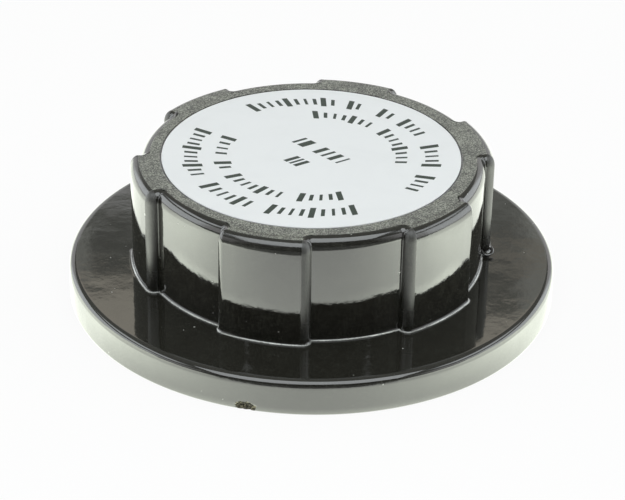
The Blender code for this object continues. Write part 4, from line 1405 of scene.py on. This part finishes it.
def make_world(settings):
    """A white sweep that is open towards the camera, and a dim room with a few soft windows above it."""
    world = bpy.data.worlds.new("studio_world")
    world.use_nodes = True
    bpy.context.scene.world = world
    tree = world.node_tree
    background = tree.nodes["Background"]
    aim = put(tree, "ShaderNodeTexCoord").outputs["Generated"]
    parts = put(tree, "ShaderNodeSeparateXYZ", {0: aim})
    side, depth, height = parts.outputs[0], parts.outputs[1], parts.outputs[2]
    stir = put(tree, "ShaderNodeTexNoise", {"Vector": aim, "Scale": 38.0, "Detail": 2.0})
    wavy = total(tree, height, maths(tree, "MULTIPLY_ADD", stir.outputs[0], 0.003, -0.0015))
    bearing = maths(tree, "DIVIDE", side, maths(tree, "MAXIMUM", depth, 0.05))
    ahead = ramp(tree, depth, 0.5, 0.7)
    sideways = maths(tree, "ABSOLUTE", bearing)
    within = times(tree, ahead, ramp(tree, sideways, 0.24, 0.17))
    left = times(tree, ramp(tree, bearing, -0.03, -0.05), within)
    right = times(tree, ramp(tree, bearing, 0.03, 0.05), within)
    either_side = maths(tree, "MAXIMUM", ramp(tree, bearing, 0.100, 0.114, 0.0, 0.40),
                        ramp(tree, bearing, -0.108, -0.118, 0.0, 0.34))
    outer_side = times(tree, within, either_side)
    far_glow = times(tree, ramp(tree, wavy, 0.492, 0.474, 0.0, 0.22),
                     times(tree, within, ramp(tree, sideways, 0.05, 0.07)))
    edge = times(tree, left, 0.026)
    low = ramp(tree, maths(tree, "SUBTRACT", wavy, edge), 0.458, 0.438)
    behind = ramp(tree, depth, -0.78, -0.45)
    sweep = times(tree, low, behind)
    to_side = times(tree, ramp(tree, maths(tree, "ABSOLUTE", side), 0.55, 0.70),
                    ramp(tree, depth, -0.40, -0.20))
    lit_heights = maths(tree, "MAXIMUM", window(tree, height, -0.2, 0.462, 0.006),
                        window(tree, height, 0.575, 0.72, 0.02))
    flank = times(tree, to_side, lit_heights)
    left_light = times(tree, left, window(tree, wavy, 0.5060, 0.59, 0.0060))
    right_band = times(tree, window(tree, wavy, 0.4895, 0.5010, 0.0045), 0.60)
    right_high = window(tree, wavy, 0.5180, 0.59, 0.0035)
    right_light = times(tree, right, maths(tree, "MAXIMUM", right_band, right_high))
    panes = maths(tree, "MAXIMUM", left_light, right_light)
    dim = ramp(tree, depth, -0.68, -0.48, 0.45 * settings.room, settings.room)
    room_light = total(tree, total(tree, outer_side, far_glow), dim)
    windows = maths(tree, "MAXIMUM", panes, room_light)
    warmth = blend_colour(tree, ramp(tree, panes, 0.2, 0.6), (0.97, 1.0, 0.92), (1.0, 0.94, 0.80))
    room = put(tree, "ShaderNodeVectorMath", {0: warmth, "Scale": windows}, operation="SCALE")
    seen, _ = ray_kinds(tree)
    white = maths(tree, "MAXIMUM", seen, sweep)
    around = blend_colour(tree, white, room.outputs[0], (1.0, 1.0, 1.0))
    flank_unseen = times(tree, flank, maths(tree, "SUBTRACT", 1.0, seen))
    lit = put(tree, "ShaderNodeVectorMath", {0: COOL_WHITE, "Scale": settings.flank}, operation="SCALE")
    tree.links.new(blend_colour(tree, flank_unseen, around, lit.outputs[0]), background.inputs["Color"])
    background.inputs["Strength"].default_value = 1.0


def make_bounce(settings):
    """Light off the table: strongest beside the cap and close in front of its foot, weaker far off."""
    lamp = panel("table_bounce", (0.0, 0.0, 0.00015), (0, 0, 1), (0.6, 0.6), settings.bounce,
                 (0.93, 1.0, 0.83))
    lamp.data.use_nodes = True
    tree = lamp.data.node_tree
    place = put(tree, "ShaderNodeNewGeometry").outputs["Position"]
    parts = put(tree, "ShaderNodeSeparateXYZ", {0: place})
    away = put(tree, "ShaderNodeVectorMath", {0: place}, operation="LENGTH").outputs["Value"]
    off_axis = maths(tree, "ABSOLUTE", parts.outputs[0])
    sides = maths(tree, "MULTIPLY_ADD", maths(tree, "POWER", off_axis, 3.0), 3080.0, 0.365)
    sides = maths(tree, "MINIMUM", sides, 1.6)
    front = ramp(tree, parts.outputs[1], -0.035, 0.015, 1.0, 0.6)
    near = blend_value(tree, ramp(tree, off_axis, 0.012, 0.036),
                       ramp(tree, away, 0.0510, 0.0530, 1.75, 1.0),
                       ramp(tree, away, 0.0515, 0.0570, 0.82, 1.0))
    far = ramp(tree, away, 0.058, 0.100, 1.0, 0.6)
    edge = ramp(tree, parts.outputs[1], TABLE_END, TABLE_START, 0.05, 1.0)
    beside = times(tree, ramp(tree, off_axis, 0.0, 0.040, 1.25, 2.02),
                   ramp(tree, parts.outputs[1], -0.028, -0.006, 1.0, 0.5))
    close = blend_value(tree, ramp(tree, away, 0.058, 0.066), beside, 1.0)
    strength = sides
    for factor in (front, near, far, edge, close):
        strength = times(tree, strength, factor)
    tree.links.new(strength, tree.nodes["Emission"].inputs["Strength"])


class RADIATOR_CAP_OT_stage(Operator):
    """Sets the camera, the floor, the world and the lamps"""
    bl_idname = "radiator_cap.stage"
    bl_label = "Build Stage"

    def execute(self, context):
        settings = context.scene.radiator_cap_stage
        make_camera(settings)
        make_floor(settings)
        make_world(settings)
        panel("overhead_softbox", (0.0, -0.322, 0.529), (0, 0, 0), (0.85, 0.43), settings.overhead,
              COOL_WHITE)
        make_bounce(settings)
        context.scene.view_settings.view_transform = "Standard"
        return {"FINISHED"}


class RADIATOR_CAP_PT_panel(Panel):
    """Lists the pieces of the cap and the stage"""
    bl_idname = "RADIATOR_CAP_PT_panel"
    bl_label = "Radiator Cap"
    bl_space_type = "VIEW_3D"
    bl_region_type = "UI"
    bl_category = "Radiator Cap"

    def draw(self, context):
        layout = self.layout
        for name, operators in PARTS:
            box = layout.box()
            settings = getattr(context.scene, name)
            for key in settings.bl_rna.properties.keys():
                if key not in ("rna_type", "name"):
                    box.prop(settings, key)
            for operator in operators:
                box.operator(operator.bl_idname)


PARTS = (
    ("radiator_cap_stage", (RADIATOR_CAP_OT_stage,)),
    ("radiator_cap_shell", (RADIATOR_CAP_OT_shell,)),
    ("radiator_cap_label", (RADIATOR_CAP_OT_label,)),
    ("radiator_cap_cage", (RADIATOR_CAP_OT_cage,)),
    ("radiator_cap_valve", (RADIATOR_CAP_OT_seat, RADIATOR_CAP_OT_pressure_valve,
                            RADIATOR_CAP_OT_vacuum_valve)),
)


def all_classes():
    operators = [operator for _, group in PARTS for operator in group]
    return [*SETTINGS.values(), *operators, RADIATOR_CAP_PT_panel]


def register():
    for each in all_classes():
        bpy.utils.register_class(each)
    for name, group in SETTINGS.items():
        setattr(bpy.types.Scene, name, PointerProperty(type=group))


def unregister():
    for name in SETTINGS:
        delattr(bpy.types.Scene, name)
    for each in reversed(all_classes()):
        bpy.utils.unregister_class(each)


def main():
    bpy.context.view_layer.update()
    register()
    bpy.ops.radiator_cap.stage()
    bpy.ops.radiator_cap.shell()
    bpy.ops.radiator_cap.label()
    bpy.ops.radiator_cap.cage()
    bpy.ops.radiator_cap.seat()
    bpy.ops.radiator_cap.pressure_valve()
    bpy.ops.radiator_cap.vacuum_valve()


if __name__ == "__main__":
    main()
